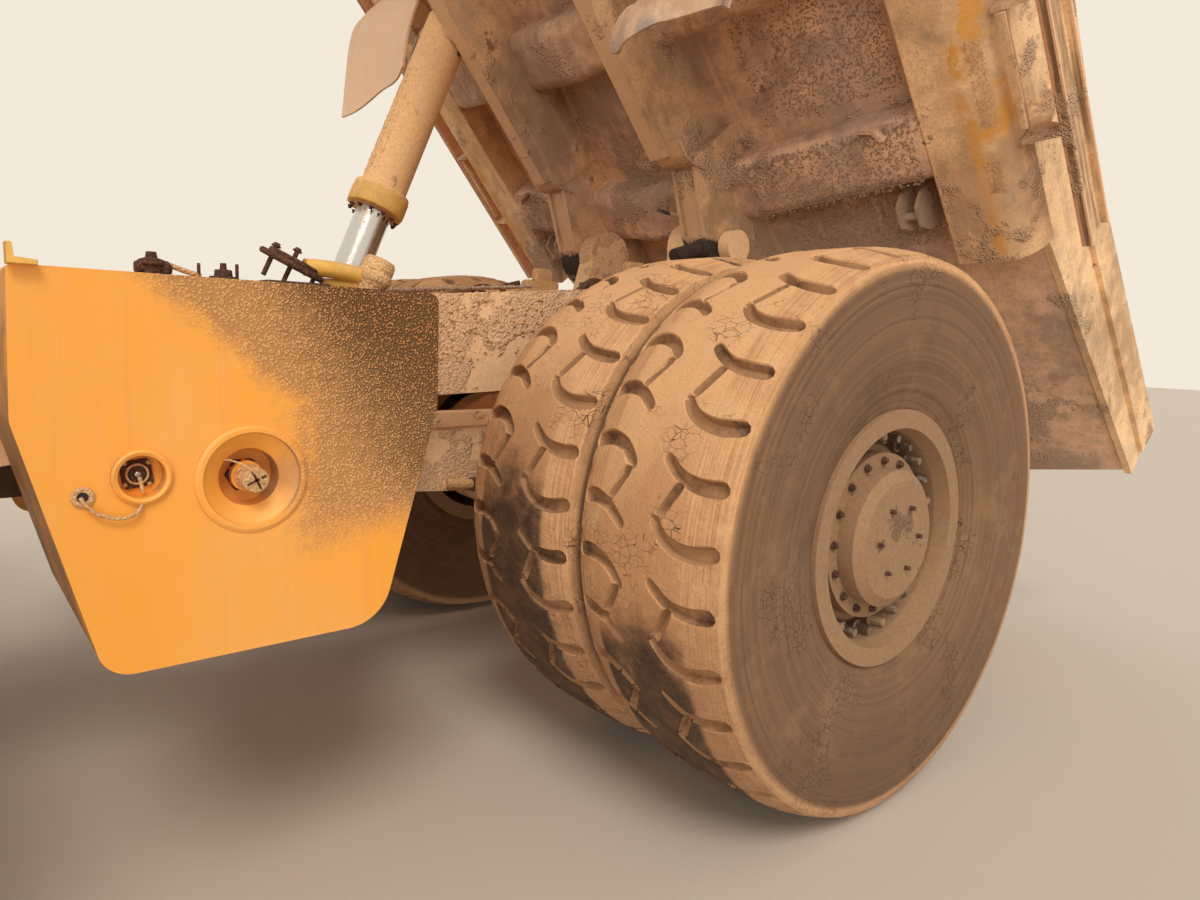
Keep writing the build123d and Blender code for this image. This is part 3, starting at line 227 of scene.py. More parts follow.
def paint_under_dust(name, paint, dust, mud, dust_cover=0.5, mud_cover=0.2, rust_cover=0.1):
    """Weathered machine paint: dust film, run marks, caked mud and specks of rust."""
    f = Finish(name)
    broad = f.noise(0.9, 5, 0.6)
    middle = f.noise(5.5, 6, 0.62)
    runs = f.noise(1.0, 5, 0.6, f.mapped((16, 16, 1.1)))
    up = f.facing()[2]
    film = f.sum(f.times(broad, 0.45), f.times(middle, 0.35))
    film = f.sum(film, f.times(runs, 0.25))
    film = f.sum(film, f.times(up, 0.14))
    edge = 1.02 - dust_cover
    film = f.step(film, edge - 0.22, edge + 0.20)
    patch = f.sum(f.noise(1.7, 7, 0.66, at=(3.1, 1.7, 0.4)), f.times(f.cells(9.0), 0.10))
    caked = f.step(patch, 0.80 - mud_cover * 0.55, 0.84 - mud_cover * 0.55)
    speck = f.step(f.noise(38, 5, 0.7, at=(7.7, 0.3, 5.1)), 0.74 - rust_cover * 0.3, 0.79 - rust_cover * 0.3)
    shade = f.mix(f.step(f.noise(14, 6, 0.7), 0.3, 0.7), [c * 0.80 for c in paint], [min(1, c * 1.12) for c in paint])
    shade = f.mix(speck, shade, (0.20, 0.075, 0.025))
    dusty = f.mix(f.step(f.noise(60, 4, 0.7), 0.25, 0.75), [c * 0.82 for c in dust], [min(1, c * 1.10) for c in dust])
    shade = f.mix(f.times(film, 0.93), shade, dusty)
    clods = f.mix(f.step(f.noise(90, 5, 0.7), 0.3, 0.72), [c * 0.62 for c in mud], [min(1, c * 1.15) for c in mud])
    shade = f.mix(caked, shade, clods)
    pebble = f.minus(1.0, f.cells(95))
    fine = f.noise(420, 3, 0.7)
    height = f.sum(f.times(caked, f.sum(0.6, f.times(pebble, 0.9))), f.times(fine, 0.12))
    height = f.sum(height, f.times(film, 0.10))
    normal = f.bump(height, 0.006)
    rough = f.blend(film, 0.48, 0.92)
    return f.close(shade, f.blend(caked, rough, 0.97), normal)


def tank_paint(name, paint):
    """Clean orange at the front, a slanting border to tan dust, a dark pebbly crust at the top rear, and painted shade
    with mud on the faces turned forward.
    """
    f = Finish(name)
    _, y, z = f.axes()
    ragged = f.minus(f.noise(3.2, 7, 0.62), 0.5)
    fine = f.minus(f.noise(30, 5, 0.7), 0.5)
    rise = f.times(f.math("MAXIMUM", f.minus(z, 1.60), 0.0), 1.18)
    across = f.sum(f.sum(y, 0.10), rise)
    across = f.sum(across, f.times(ragged, 0.22))
    across = f.sum(across, f.times(fine, 0.16))
    low_edge = f.sum(z, f.sum(f.times(ragged, 0.20), f.times(fine, 0.10)))
    tan = f.times(f.step(across, -0.05, 0.09), f.step(low_edge, 1.16, 1.30))
    crust = f.sum(f.sum(y, f.times(f.minus(z, 1.6), 0.55)), f.times(fine, 0.35))
    crust = f.times(f.step(crust, -0.10, 0.24), f.step(low_edge, 1.22, 1.42))
    dark = f.sum(f.times(y, 0.8), f.times(f.minus(z, 1.62), 1.25))
    dark = f.sum(dark, f.times(ragged, 0.25))
    dark = f.times(f.step(dark, 0.02, 0.40), crust)
    grain = f.minus(1.0, f.times(f.cells(136), 1.5))
    haze = f.step(f.noise(2.4, 6, 0.6, f.mapped((1, 1.0, 0.55), (2.3, 0.4, 1.9))), 0.42, 0.70)
    runs = f.step(f.noise(1.0, 4, 0.6, f.mapped((20, 34, 1.4))), 0.52, 0.75)
    shade = f.mix(f.times(haze, 0.55), [paint[0] * 1.10, paint[1], paint[2]], (0.93, 0.47, 0.16))
    shade = f.mix(f.times(runs, 0.35), shade, (0.80, 0.36, 0.10))
    chips = f.step(f.noise(46, 4, 0.72, at=(1.7, 6.1, 0.2)), 0.70, 0.74)
    shade = f.mix(f.times(chips, 0.75), shade, (0.66, 0.40, 0.22))
    dust = f.mix(f.step(grain, 0.1, 0.9), (0.46, 0.220, 0.080), (0.84, 0.460, 0.185))
    shade = f.mix(f.times(tan, 0.92), shade, dust)
    crumbly = f.mix(f.step(grain, 0.15, 0.80), (0.220, 0.115, 0.040), (0.90, 0.46, 0.185))
    shade = f.mix(crust, shade, crumbly)
    sooty = f.mix(f.step(grain, 0.15, 0.80), (0.130, 0.062, 0.020), (0.80, 0.33, 0.105))
    shade = f.mix(f.times(dark, 0.9), shade, sooty)
    normals = f.facing()
    # painted shade, with mud: faces turned forward get a patchy darker brown
    shadow_side = f.step(f.times(normals[1], -1.0), 0.35, 0.8)
    shade = f.mix(f.times(shadow_side, f.step(f.noise(5, 6, 0.65), 0.36, 0.56)), shade, (0.42, 0.225, 0.105))
    height = f.times(f.sum(f.times(tan, 0.35), crust), f.step(grain, -0.1, 0.9))
    height = f.sum(height, f.times(f.noise(210, 3, 0.7), 0.06))
    return f.close(shade, f.blend(tan, 0.50, 0.95), f.bump(height, 0.006))


def tyre_rubber(name, dust):
    """Worn rubber ground full of ochre dust, with painted light and shade by height: pale on top as dust and painted
    light, dark brown low on the tread and sidewalls as painted shade, the inner tyres darker as painted shade, ringed
    sidewalls.
    """
    f = Finish(name)
    x, y, z = f.axes()
    front = f.step(y, -0.2, -0.3)
    centre = f.blend(front, REAR_AXLE_Y, FRONT_AXLE_Y)
    along = f.minus(y, centre)
    up = f.minus(z, AXLE_Z)
    reach = f.math("SQRT", f.sum(f.times(along, along), f.times(up, up)))
    polar = f.add("ShaderNodeCombineXYZ", X=x, Y=reach, Z=f.math("ARCTAN2", up, along)).outputs[0]
    side = f.size(x)
    rear_u = f.math("MINIMUM", f.size(f.minus(side, REAR_INNER_X)), f.size(f.minus(side, REAR_OUTER_X)))
    u = f.blend(front, rear_u, f.size(f.minus(side, FRONT_WHEEL_X)))
    tread = f.step(reach, 0.985, 1.015)
    ragged = f.minus(f.noise(2.3, 6, 0.62), 0.5)
    blot = f.minus(f.noise(9.0, 6, 0.68, at=(5.3, 2.2, 0.9)), 0.5)
    shoulder = f.step(f.sum(u, f.times(blot, 0.05)), 0.185, 0.215)
    scored = f.noise(1.0, 5, 0.7, f.mapped((125, 2, 0.9), vector=polar))
    ringed = f.noise(1.0, 4, 0.6, f.mapped((2, 70, 0.45), vector=polar))
    lines = f.blend(tread, f.blend(0.45, 0.5, ringed), f.blend(f.sum(f.times(shoulder, 0.40), 0.18), 0.5, scored))
    high = f.sum(z, f.times(ragged, 0.8), f.times(blot, 0.35))
    # painted light and shade by height: top marks the pale upper band, low the dark lower band; on the inner tyres
    # both sit lower, so the inner tyres are painted darker as shade
    inner = f.step(side, 1.42, 1.34)
    top = f.step(f.minus(high, f.times(inner, 0.28)), 1.12, 1.60)
    low = f.step(f.minus(high, f.times(inner, 0.40)), 1.02, 0.62)
    pale = f.mix(f.step(lines, 0.30, 0.66), [c * 0.78 for c in dust], [min(1, c * 1.10) for c in dust])
    pale = f.mix(f.step(blot, 0.02, 0.16), pale, (0.74, 0.44, 0.215))
    middle = f.mix(f.step(lines, 0.34, 0.64), (0.42, 0.210, 0.095), (0.72, 0.375, 0.172))
    # painted shade low on the tread: very dark brown, with lighter specks
    low_tread_shade = f.mix(f.step(f.sum(blot, f.times(ragged, 0.5)), -0.10, 0.14), (0.066, 0.031, 0.014), (0.150, 0.071, 0.031))
    low_tread_shade = f.mix(f.times(f.step(f.noise(45, 5, 0.75), 0.55, 0.68), 0.6), low_tread_shade, (0.24, 0.120, 0.056))
    strip = f.mix(low, f.mix(top, middle, pale), low_tread_shade)
    edge = f.mix(f.step(f.sum(f.times(blot, 0.8), lines), 0.30, 0.70), middle, pale)
    # painted shade on the lower part of the shoulders
    edge = f.mix(f.times(f.step(high, 1.30, 0.70), 0.45), edge, (0.30, 0.155, 0.075))
    crown_shade = f.mix(shoulder, strip, edge)
    wall = f.mix(f.step(lines, 0.40, 0.58), (0.160, 0.084, 0.041), (0.230, 0.124, 0.061))
    wall = f.mix(f.times(f.step(f.sum(ragged, blot), 0.02, 0.26), 0.6), wall, (0.28, 0.152, 0.076))
    # painted shade on the lower part of the sidewalls
    wall = f.mix(f.times(f.step(high, 0.75, 0.20), 0.6), wall, (0.135, 0.070, 0.035))
    wall = f.mix(f.times(f.step(f.noise(3.1, 6, 0.66, at=(2.2, 9.1, 3.3)), 0.54, 0.66), 0.5), wall,
                 (0.13, 0.070, 0.036))
    shade = f.mix(tread, wall, crown_shade)
    grit = f.step(f.noise(120, 5, 0.72), 0.53, 0.72)
    shade = f.mix(f.times(grit, 0.40), shade, (0.20, 0.100, 0.045))
    cracks = f.step(f.cells(24, "DISTANCE_TO_EDGE", f.mapped((1, 1.4, 1.4))), 0.022, 0.004)
    cracks = f.times(cracks, f.step(f.noise(3.4, 4, 0.6, at=(9, 1, 4)), 0.55, 0.62))
    shade = f.mix(f.times(cracks, 0.8), shade, (0.10, 0.047, 0.020))
    rough = f.sum(f.times(f.noise(75, 6, 0.72), 0.7), f.times(f.noise(30, 5, 0.7), f.sum(low, 0.3), 0.8))
    bumps = f.sum(f.times(lines, f.blend(tread, 0.55, 0.40)), f.times(rough, f.blend(tread, 0.30, 1.0)))
    bumps = f.minus(bumps, cracks)
    return f.close(shade, f.blend(f.times(low, tread), 0.93, 0.62), f.bump(bumps, 0.0095))


def bed_steel(name, dust, mud, sides=False, beams=False):
    """Underside of the bed: brown dust, grey scoured patches, rust at the seams, flaked orange on the sill; painted
    light on the beams' downward faces and painted shade in the sill's outer channel.
    """
    f = Finish(name)
    x, y, z = f.axes()
    back = f.minus(y, HINGE.y)
    high = f.minus(z, HINGE.z)
    along = f.minus(f.times(back, math.cos(BED_ANGLE)), f.times(high, math.sin(BED_ANGLE)))
    up = f.sum(f.times(back, math.sin(BED_ANGLE)), f.times(high, math.cos(BED_ANGLE)))
    side = f.size(x)
    own = f.add("ShaderNodeCombineXYZ", X=x, Y=along, Z=up).outputs[0]
    _, ny, nz = f.facing()
    under = f.sum(f.times(ny, -math.sin(BED_ANGLE)), f.times(nz, -math.cos(BED_ANGLE)))
    broad = f.noise(1.2, 5, 0.62)
    blot = f.minus(f.noise(7.0, 6, 0.68, at=(2.3, 7.2, 0.9)), 0.5)
    fine = f.noise(85, 4, 0.7)
    runs = f.noise(1.0, 5, 0.62, f.mapped((15, 0.9, 15), vector=own))
    shade = f.mix(f.step(f.sum(broad, f.times(blot, 0.6)), 0.36, 0.64), [c * 0.58 for c in dust],
                  [min(1, c * 1.16) for c in dust])
    grey = f.step(f.noise(1.9, 6, 0.62, at=(4.1, 1.2, 8.3)), 0.50, 0.62)
    shade = f.mix(f.times(grey, 0.40), shade, (0.40, 0.305, 0.240))
    shade = f.mix(f.times(f.step(runs, 0.50, 0.72), 0.45), shade, [c * 1.18 for c in dust])
    shade = f.mix(f.times(f.step(runs, 0.44, 0.30), 0.40), shade, [c * 0.62 for c in dust])
    shade = f.mix(f.times(f.step(fine, 0.48, 0.70), 0.60), shade, [c * 0.50 for c in dust])
    rust = f.step(f.sum(f.noise(2.7, 7, 0.70, at=(1.9, 3.3, 2.8)), f.times(blot, 0.25)), 0.655, 0.70)
    shade = f.mix(f.times(rust, 0.8), shade, f.mix(fine, (0.115, 0.040, 0.016), (0.30, 0.115, 0.045)))
    if beams:
        # painted light: faces turned to the bed's underside are painted lighter tan, as lit flanges
        face = f.step(under, 0.80, 0.92)
        shade = f.mix(f.times(face, 0.85), shade, f.mix(fine, (0.56, 0.34, 0.185), (0.84, 0.53, 0.30)))
        grease = f.sum(f.size(f.sum(along, 0.03)), f.times(blot, 0.22), f.times(up, 0.7))
        shade = f.mix(f.step(grease, 0.035, 0.0), shade, (0.030, 0.018, 0.012))
        stub = f.times(f.step(up, -0.116, -0.122), f.step(up, -0.326, -0.320))
        shade = f.mix(f.times(stub, f.step(blot, 0.12, -0.02)), shade, (0.045, 0.028, 0.020))
    if sides:
        torn = f.minus(f.noise(32, 5, 0.72), 0.5)
        plan = f.add("ShaderNodeCombineXYZ", X=f.sum(side, f.times(blot, 0.05), f.times(torn, 0.065)),
                     Y=f.sum(along, f.times(blot, 0.12), f.times(torn, 0.09)), Z=0.0).outputs[0]
        left = f.step(f.noise(11, 6, 0.7, at=(3.7, 0.2, 6.1)), 0.36, 0.50)
        bare = f.mix(f.noise(9, 5, 0.65), (0.70, 0.285, 0.030), (0.90, 0.43, 0.055))
        onto = f.times(f.step(side, 1.60, 1.63), f.step(up, 0.66, 0.64))
        for points, half in (([(1.97, -0.82), (1.912, -0.615), (1.866, -0.578), (1.847, -0.50)], 0.036),
                             ([(1.832, -0.36), (1.850, -0.208), (1.849, 0.025), (1.843, 0.45)], 0.027),
                             ([(1.985, -0.37), (1.99, -0.262), (1.945, -0.189), (1.895, -0.18)], 0.030),
                             ([(1.90, -1.05), (1.93, -0.95)], 0.03),
                             ([(1.80, -1.9), (1.83, -1.6), (1.81, -1.4)], 0.02)):
            shade = f.mix(f.times(f.streak(plan, points, half), onto, left, 0.92), shade, bare)
            halo = f.times(f.streak(plan, points, half * 2.1), onto, 0.40)
            shade = f.mix(halo, shade, (0.66, 0.36, 0.13))
        cloudy = f.sum(f.noise(3.1, 6, 0.66, at=(6.1, 0.4, 3.2)), f.times(blot, 0.3))
        ochre = f.times(onto, f.step(cloudy, 0.47, 0.60))
        shade = f.mix(f.times(ochre, 0.55), shade, (0.70, 0.42, 0.225))
        weld = f.times(f.step(side, 2.148, 2.152), f.step(side, 2.168, 2.164), f.step(up, 0.74, 0.72))
        shade = f.mix(f.times(weld, 0.9), shade, f.mix(fine, (0.52, 0.235, 0.125), (0.78, 0.375, 0.20)))
        # painted shade: a dark band stands for the recessed channel along the sill's outer edge; outward of it the
        # edge is painted a lighter tan
        channel = f.times(f.step(side, 2.166, 2.170), f.step(side, 2.192, 2.190))
        shade = f.mix(f.times(channel, f.step(runs, 0.62, 0.40)), shade, (0.21, 0.105, 0.050))
        shade = f.mix(f.times(f.step(side, 2.190, 2.193), 0.8), shade, (0.82, 0.50, 0.30))
    patch = f.sum(f.noise(1.6, 7, 0.66, at=(3.1, 1.7, 0.4)), f.times(f.cells(9.0), 0.10))
    caked = f.step(patch, 0.60, 0.67)
    grain = f.minus(1.0, f.times(f.cells(95), 1.3))
    shade = f.mix(f.times(caked, 0.85), shade,
                  f.mix(f.step(grain, -0.1, 0.7), [c * 0.72 for c in mud], [min(1, c * 1.15) for c in mud]))
    height = f.sum(f.times(caked, f.sum(0.5, grain)), f.times(fine, 0.22), f.times(blot, 0.5), f.times(rust, 0.3))
    return f.close(shade, 0.92, f.bump(height, 0.015))


def crumbs(name, light, dark):
    """Rough dry crust: crumbs of earth or scale, light on top and dark between."""
    f = Finish(name)
    grain = f.minus(1.0, f.times(f.cells(120), 1.4))
    patch = f.step(f.sum(f.times(grain, 0.6), f.times(f.noise(22, 6, 0.7), 0.8)), 0.45, 1.0)
    return f.close(f.mix(patch, dark, light), 0.95, f.bump(f.sum(grain, f.noise(60, 5, 0.7)), 0.003))


def plain_rubber(name, colour, dust, cover=0.5):
    """Dusty rubber sheet."""
    f = Finish(name)
    film = f.step(f.sum(f.noise(4, 6, 0.65), f.times(f.noise(60, 3), 0.2)), 0.72 - cover * 0.4, 0.86 - cover * 0.3)
    shade = f.mix(film, colour, dust)
    return f.close(shade, f.blend(film, 0.6, 0.95), f.bump(f.noise(150, 4, 0.7), 0.002))


def flap_rubber(name):
    """Rubber sheet white with dust, scuffed blue-grey, with one rough streaky edge."""
    f = Finish(name)
    x, _, z = f.axes()
    blot = f.noise(6, 6, 0.68)
    lines = f.noise(1.0, 5, 0.66, f.mapped((34, 2, 2.2)))
    shade = f.mix(f.step(blot, 0.36, 0.62), (0.48, 0.300, 0.180), (0.66, 0.44, 0.275))
    shade = f.mix(f.times(f.step(lines, 0.52, 0.70), 0.5), shade, (0.44, 0.275, 0.165))
    edge = f.step(f.sum(f.size(x), f.times(f.minus(lines, 0.5), 0.22)), 1.36, 1.44)
    shade = f.mix(f.times(edge, f.step(lines, 0.56, 0.46)), shade, (0.30, 0.175, 0.100))
    worn = f.times(f.step(f.sum(f.times(blot, 0.5), f.times(z, -0.6)), -1.62, -1.50),
                   f.step(f.noise(8, 6, 0.7), 0.38, 0.60))
    shade = f.mix(f.times(worn, f.step(x, 0.0, 0.1), 0.75), shade, (0.30, 0.245, 0.225))
    shade = f.mix(f.times(f.step(x, 0.1, 0.0), 0.8), shade, (0.98, 0.70, 0.46))
    return f.close(shade, 0.78, f.bump(f.sum(f.noise(120, 4, 0.7), f.times(lines, 0.6)), 0.0025))


def bare_metal(name, colour, roughness, film_colour, cover, metallic=1.0, grain_scale=(1, 60, 1)):
    """Steel or chrome under a film of dust and oil."""
    f = Finish(name)
    film = f.step(f.sum(f.noise(3.0, 6, 0.65), f.times(f.noise(40, 4, 0.7), 0.25)),
                  0.86 - cover * 0.5, 0.98 - cover * 0.4)
    lines = f.noise(12, 3, 0.6, f.mapped(grain_scale))
    shade = f.mix(film, f.mix(lines, [c * 0.85 for c in colour], colour), film_colour)
    rough = f.blend(film, f.blend(lines, roughness * 0.8, roughness * 1.3), 0.9)
    return f.close(shade, rough, f.bump(f.noise(220, 3), 0.0006), f.blend(film, metallic, 0.0))


def window_glass(name, tint, film_colour):
    """Clear pane with a patchy dusty film."""
    f = Finish(name)
    film = f.step(f.sum(f.noise(5, 6, 0.65), f.times(f.noise(70, 3), 0.2)), 0.55, 0.85)
    shade = f.mix(f.times(film, 0.6), tint, film_colour)
    made = f.close(shade, f.blend(film, 0.06, 0.55), f.bump(f.noise(30, 2), 0.0004), 0.0,
                   Alpha=f.blend(film, 0.30, 0.62))
    made.surface_render_method = "BLENDED"
    return made


def moulded_plastic(name, colour, film_colour):
    """Grained plastic or seat cloth with patches of dust."""
    f = Finish(name)
    grain = f.cells(260)
    film = f.step(f.noise(9, 6, 0.65), 0.48, 0.75)
    shade = f.mix(f.times(film, 0.55), f.mix(grain, colour, [c * 1.4 for c in colour]), film_colour)
    return f.close(shade, f.blend(film, 0.5, 0.85), f.bump(grain, 0.0012))


# Sizes and colours that a user would change


def colour_property(name, words, value):
    return bpy.props.FloatVectorProperty(name=name, description=words, subtype="COLOR", size=3, min=0, max=1,
                                         default=value)


class TruckColours(bpy.types.PropertyGroup):
    paint: colour_property("Paint", "Orange-yellow machine paint", (0.86, 0.39, 0.045))
    dust: colour_property("Dust", "Dry tan dust on every upper face", (0.60, 0.36, 0.17))
    mud: colour_property("Mud", "Caked grey-brown mud", (0.36, 0.205, 0.105))
    rubber_dust: colour_property("Tyre dust", "Ochre dust ground into the treads", (0.80, 0.445, 0.205))
    iron: colour_property("Iron", "Dark oily castings", (0.055, 0.035, 0.022))
    glass: colour_property("Glass", "Window panes", (0.50, 0.56, 0.55))


class StageSettings(bpy.types.PropertyGroup):
    floor: colour_property("Floor", "Pale plain floor", (0.60, 0.525, 0.44))
    backdrop: colour_property("Backdrop", "Plain wall colour behind the truck", (0.90, 0.82, 0.70))
    sun_strength: bpy.props.FloatProperty(name="Sun", description="Strength of the soft key light", default=1.6,
                                          min=0, max=20)
    fill_strength: bpy.props.FloatProperty(name="Fill", description="Strength of the low light from the door",
                                           default=1.9, min=0, max=20)
    sky_strength: bpy.props.FloatProperty(name="Sky", description="Strength of the even world light", default=0.62,
                                          min=0, max=5)
    lens: bpy.props.FloatProperty(name="Lens", description="Focal length of the photograph's camera", default=24.47,
                                  min=5, max=300)


# Which finish each node of the frame wears

NODE_FINISH = {
    "bed": ["bed_bolsters", "bed_floor", "bed_front", "rock_ejectors"],
    "sill": ["bed_sides"],
    "beam": ["bed_rails"],
    "panel": ["cab_walls", "cab_roof", "cab_door", "hood", "deck_left", "deck_right", "front_bumper",
              "air_cleaners", "grille", "stairs", "mirrors", "hydraulic_tank", "handrails"],
    "tank": ["fuel_tank"],
    "frame": ["frame_rails", "cross_members", "rear_axle", "front_struts", "rear_struts"],
    "iron": ["engine_block", "drive_line", "radiator", "knuckle_left", "knuckle_right", "tie_rod", "steer_barrels"],
    "hoist": ["hoist_barrel"],
    "chrome": ["hoist_stage", "hoist_rod", "steer_rod_left", "steer_rod_right"],
    "tyre": ["front_tyre_left", "front_tyre_right", "rear_tyres_left", "rear_tyres_right"],
    "rim": ["front_rim_left", "front_rim_right", "rear_rim_left", "rear_rim_right"],
    "flap": ["bed_flaps"],
    "glass": ["cab_glass", "door_glass"],
    "lamp": ["headlamps"],
    "trim": ["cab_seat"],
}
FINISHES = {}


class TRUCK_OT_finishes(bpy.types.Operator):
    """Makes every finish and gives it to the frame's own nodes."""

    bl_idname = "truck.finishes"
    bl_label = "Finishes"

    def execute(self, context):
        c = context.scene.truck_colours
        paint, dust, mud = list(c.paint), list(c.dust), list(c.mud)
        for finish, film in (("bed", [0.72, 0.455, 0.285]), ("sill", [0.92, 0.575, 0.310]),
                             ("beam", [0.66, 0.405, 0.215])):
            FINISHES[finish] = bed_steel("dusty_" + finish + "_steel", film, [0.70, 0.455, 0.285], finish == "sill",
                                         finish == "beam")
        FINISHES["panel"] = paint_under_dust("dusty_panel_paint", paint, dust, mud, 0.50, 0.13, 0.20)
        FINISHES["tank"] = tank_paint("tank_paint", paint)
        FINISHES["frame"] = paint_under_dust("caked_frame_paint", [0.62, 0.28, 0.05], [0.98, 0.60, 0.335],
                                             [0.84, 0.52, 0.295], 0.80, 0.45, 0.3)
        FINISHES["hoist"] = paint_under_dust("dusty_hoist_paint", [0.78, 0.40, 0.12], [0.94, 0.565, 0.275],
                                             [0.76, 0.46, 0.240], 0.72, 0.26, 0.1)
        FINISHES["rim"] = paint_under_dust("rim_paint", [0.42, 0.20, 0.05], [0.33, 0.195, 0.105], [0.25, 0.145, 0.08],
                                           0.74, 0.20, 0.4)
        FINISHES["iron"] = paint_under_dust("oily_iron", list(c.iron), [0.30, 0.18, 0.09], mud, 0.40, 0.10, 0.4)
        FINISHES["chrome"] = bare_metal("dusty_chrome", (0.74, 0.72, 0.70), 0.16, tuple(dust), 0.45)
        FINISHES["tyre"] = tyre_rubber("tyre_rubber", tuple(c.rubber_dust))
        # groove floors: dark rubber with dust, darker than the tread as painted shade in the grooves
        FINISHES["groove"] = plain_rubber("tyre_groove_shaded", (0.13, 0.066, 0.031), (0.40, 0.215, 0.100), 0.75)
        FINISHES["crust"] = crumbs("mud_crumbs", (0.56, 0.385, 0.255), (0.33, 0.215, 0.14))
        FINISHES["rust"] = crumbs("rusty_iron", (0.20, 0.085, 0.040), (0.075, 0.032, 0.017))
        FINISHES["tan"] = crumbs("dusty_fittings", (0.88, 0.56, 0.27), (0.60, 0.34, 0.15))
        FINISHES["yellow"] = paint_under_dust("yellow_fittings", [0.90, 0.50, 0.09], [0.66, 0.39, 0.17], mud,
                                              0.42, 0.05, 0.1)
        FINISHES["dark"] = plain_rubber("dark_rubber", (0.022, 0.016, 0.012), (0.20, 0.12, 0.06), 0.3)
        FINISHES["bolt"] = bare_metal("dusty_steel", (0.42, 0.36, 0.31), 0.38, (0.40, 0.24, 0.12), 0.6)
        FINISHES["flap"] = flap_rubber("flap_rubber")
        FINISHES["glass"] = window_glass("dusty_glass", tuple(c.glass), tuple(dust))
        FINISHES["lamp"] = window_glass("lamp_lens", (0.85, 0.82, 0.75), tuple(dust))
        FINISHES["red"] = paint_under_dust("red_lens", [0.50, 0.012, 0.008], dust, mud, 0.30, 0.03, 0.0)
        FINISHES["amber"] = paint_under_dust("amber_lens", [0.90, 0.28, 0.010], dust, mud, 0.30, 0.03, 0.0)
        FINISHES["trim"] = moulded_plastic("cab_trim", (0.035, 0.033, 0.03), tuple(dust))
        for finish, nodes in NODE_FINISH.items():
            for name in nodes:
                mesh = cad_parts[name].data
                mesh.materials.clear()
                mesh.materials.append(FINISHES[finish])
        return {"FINISHED"}


# Shapes that the pieces are built from


def turn_to(direction):
    """Rotation that takes +Z to a direction."""
    return Vector(direction).to_track_quat("Z", "Y").to_matrix().to_4x4()


def rectangle(half_x, half_y):
    """Corners of a rectangle round its middle."""
    return [(-half_x, -half_y), (half_x, -half_y), (half_x, half_y), (-half_x, half_y)]


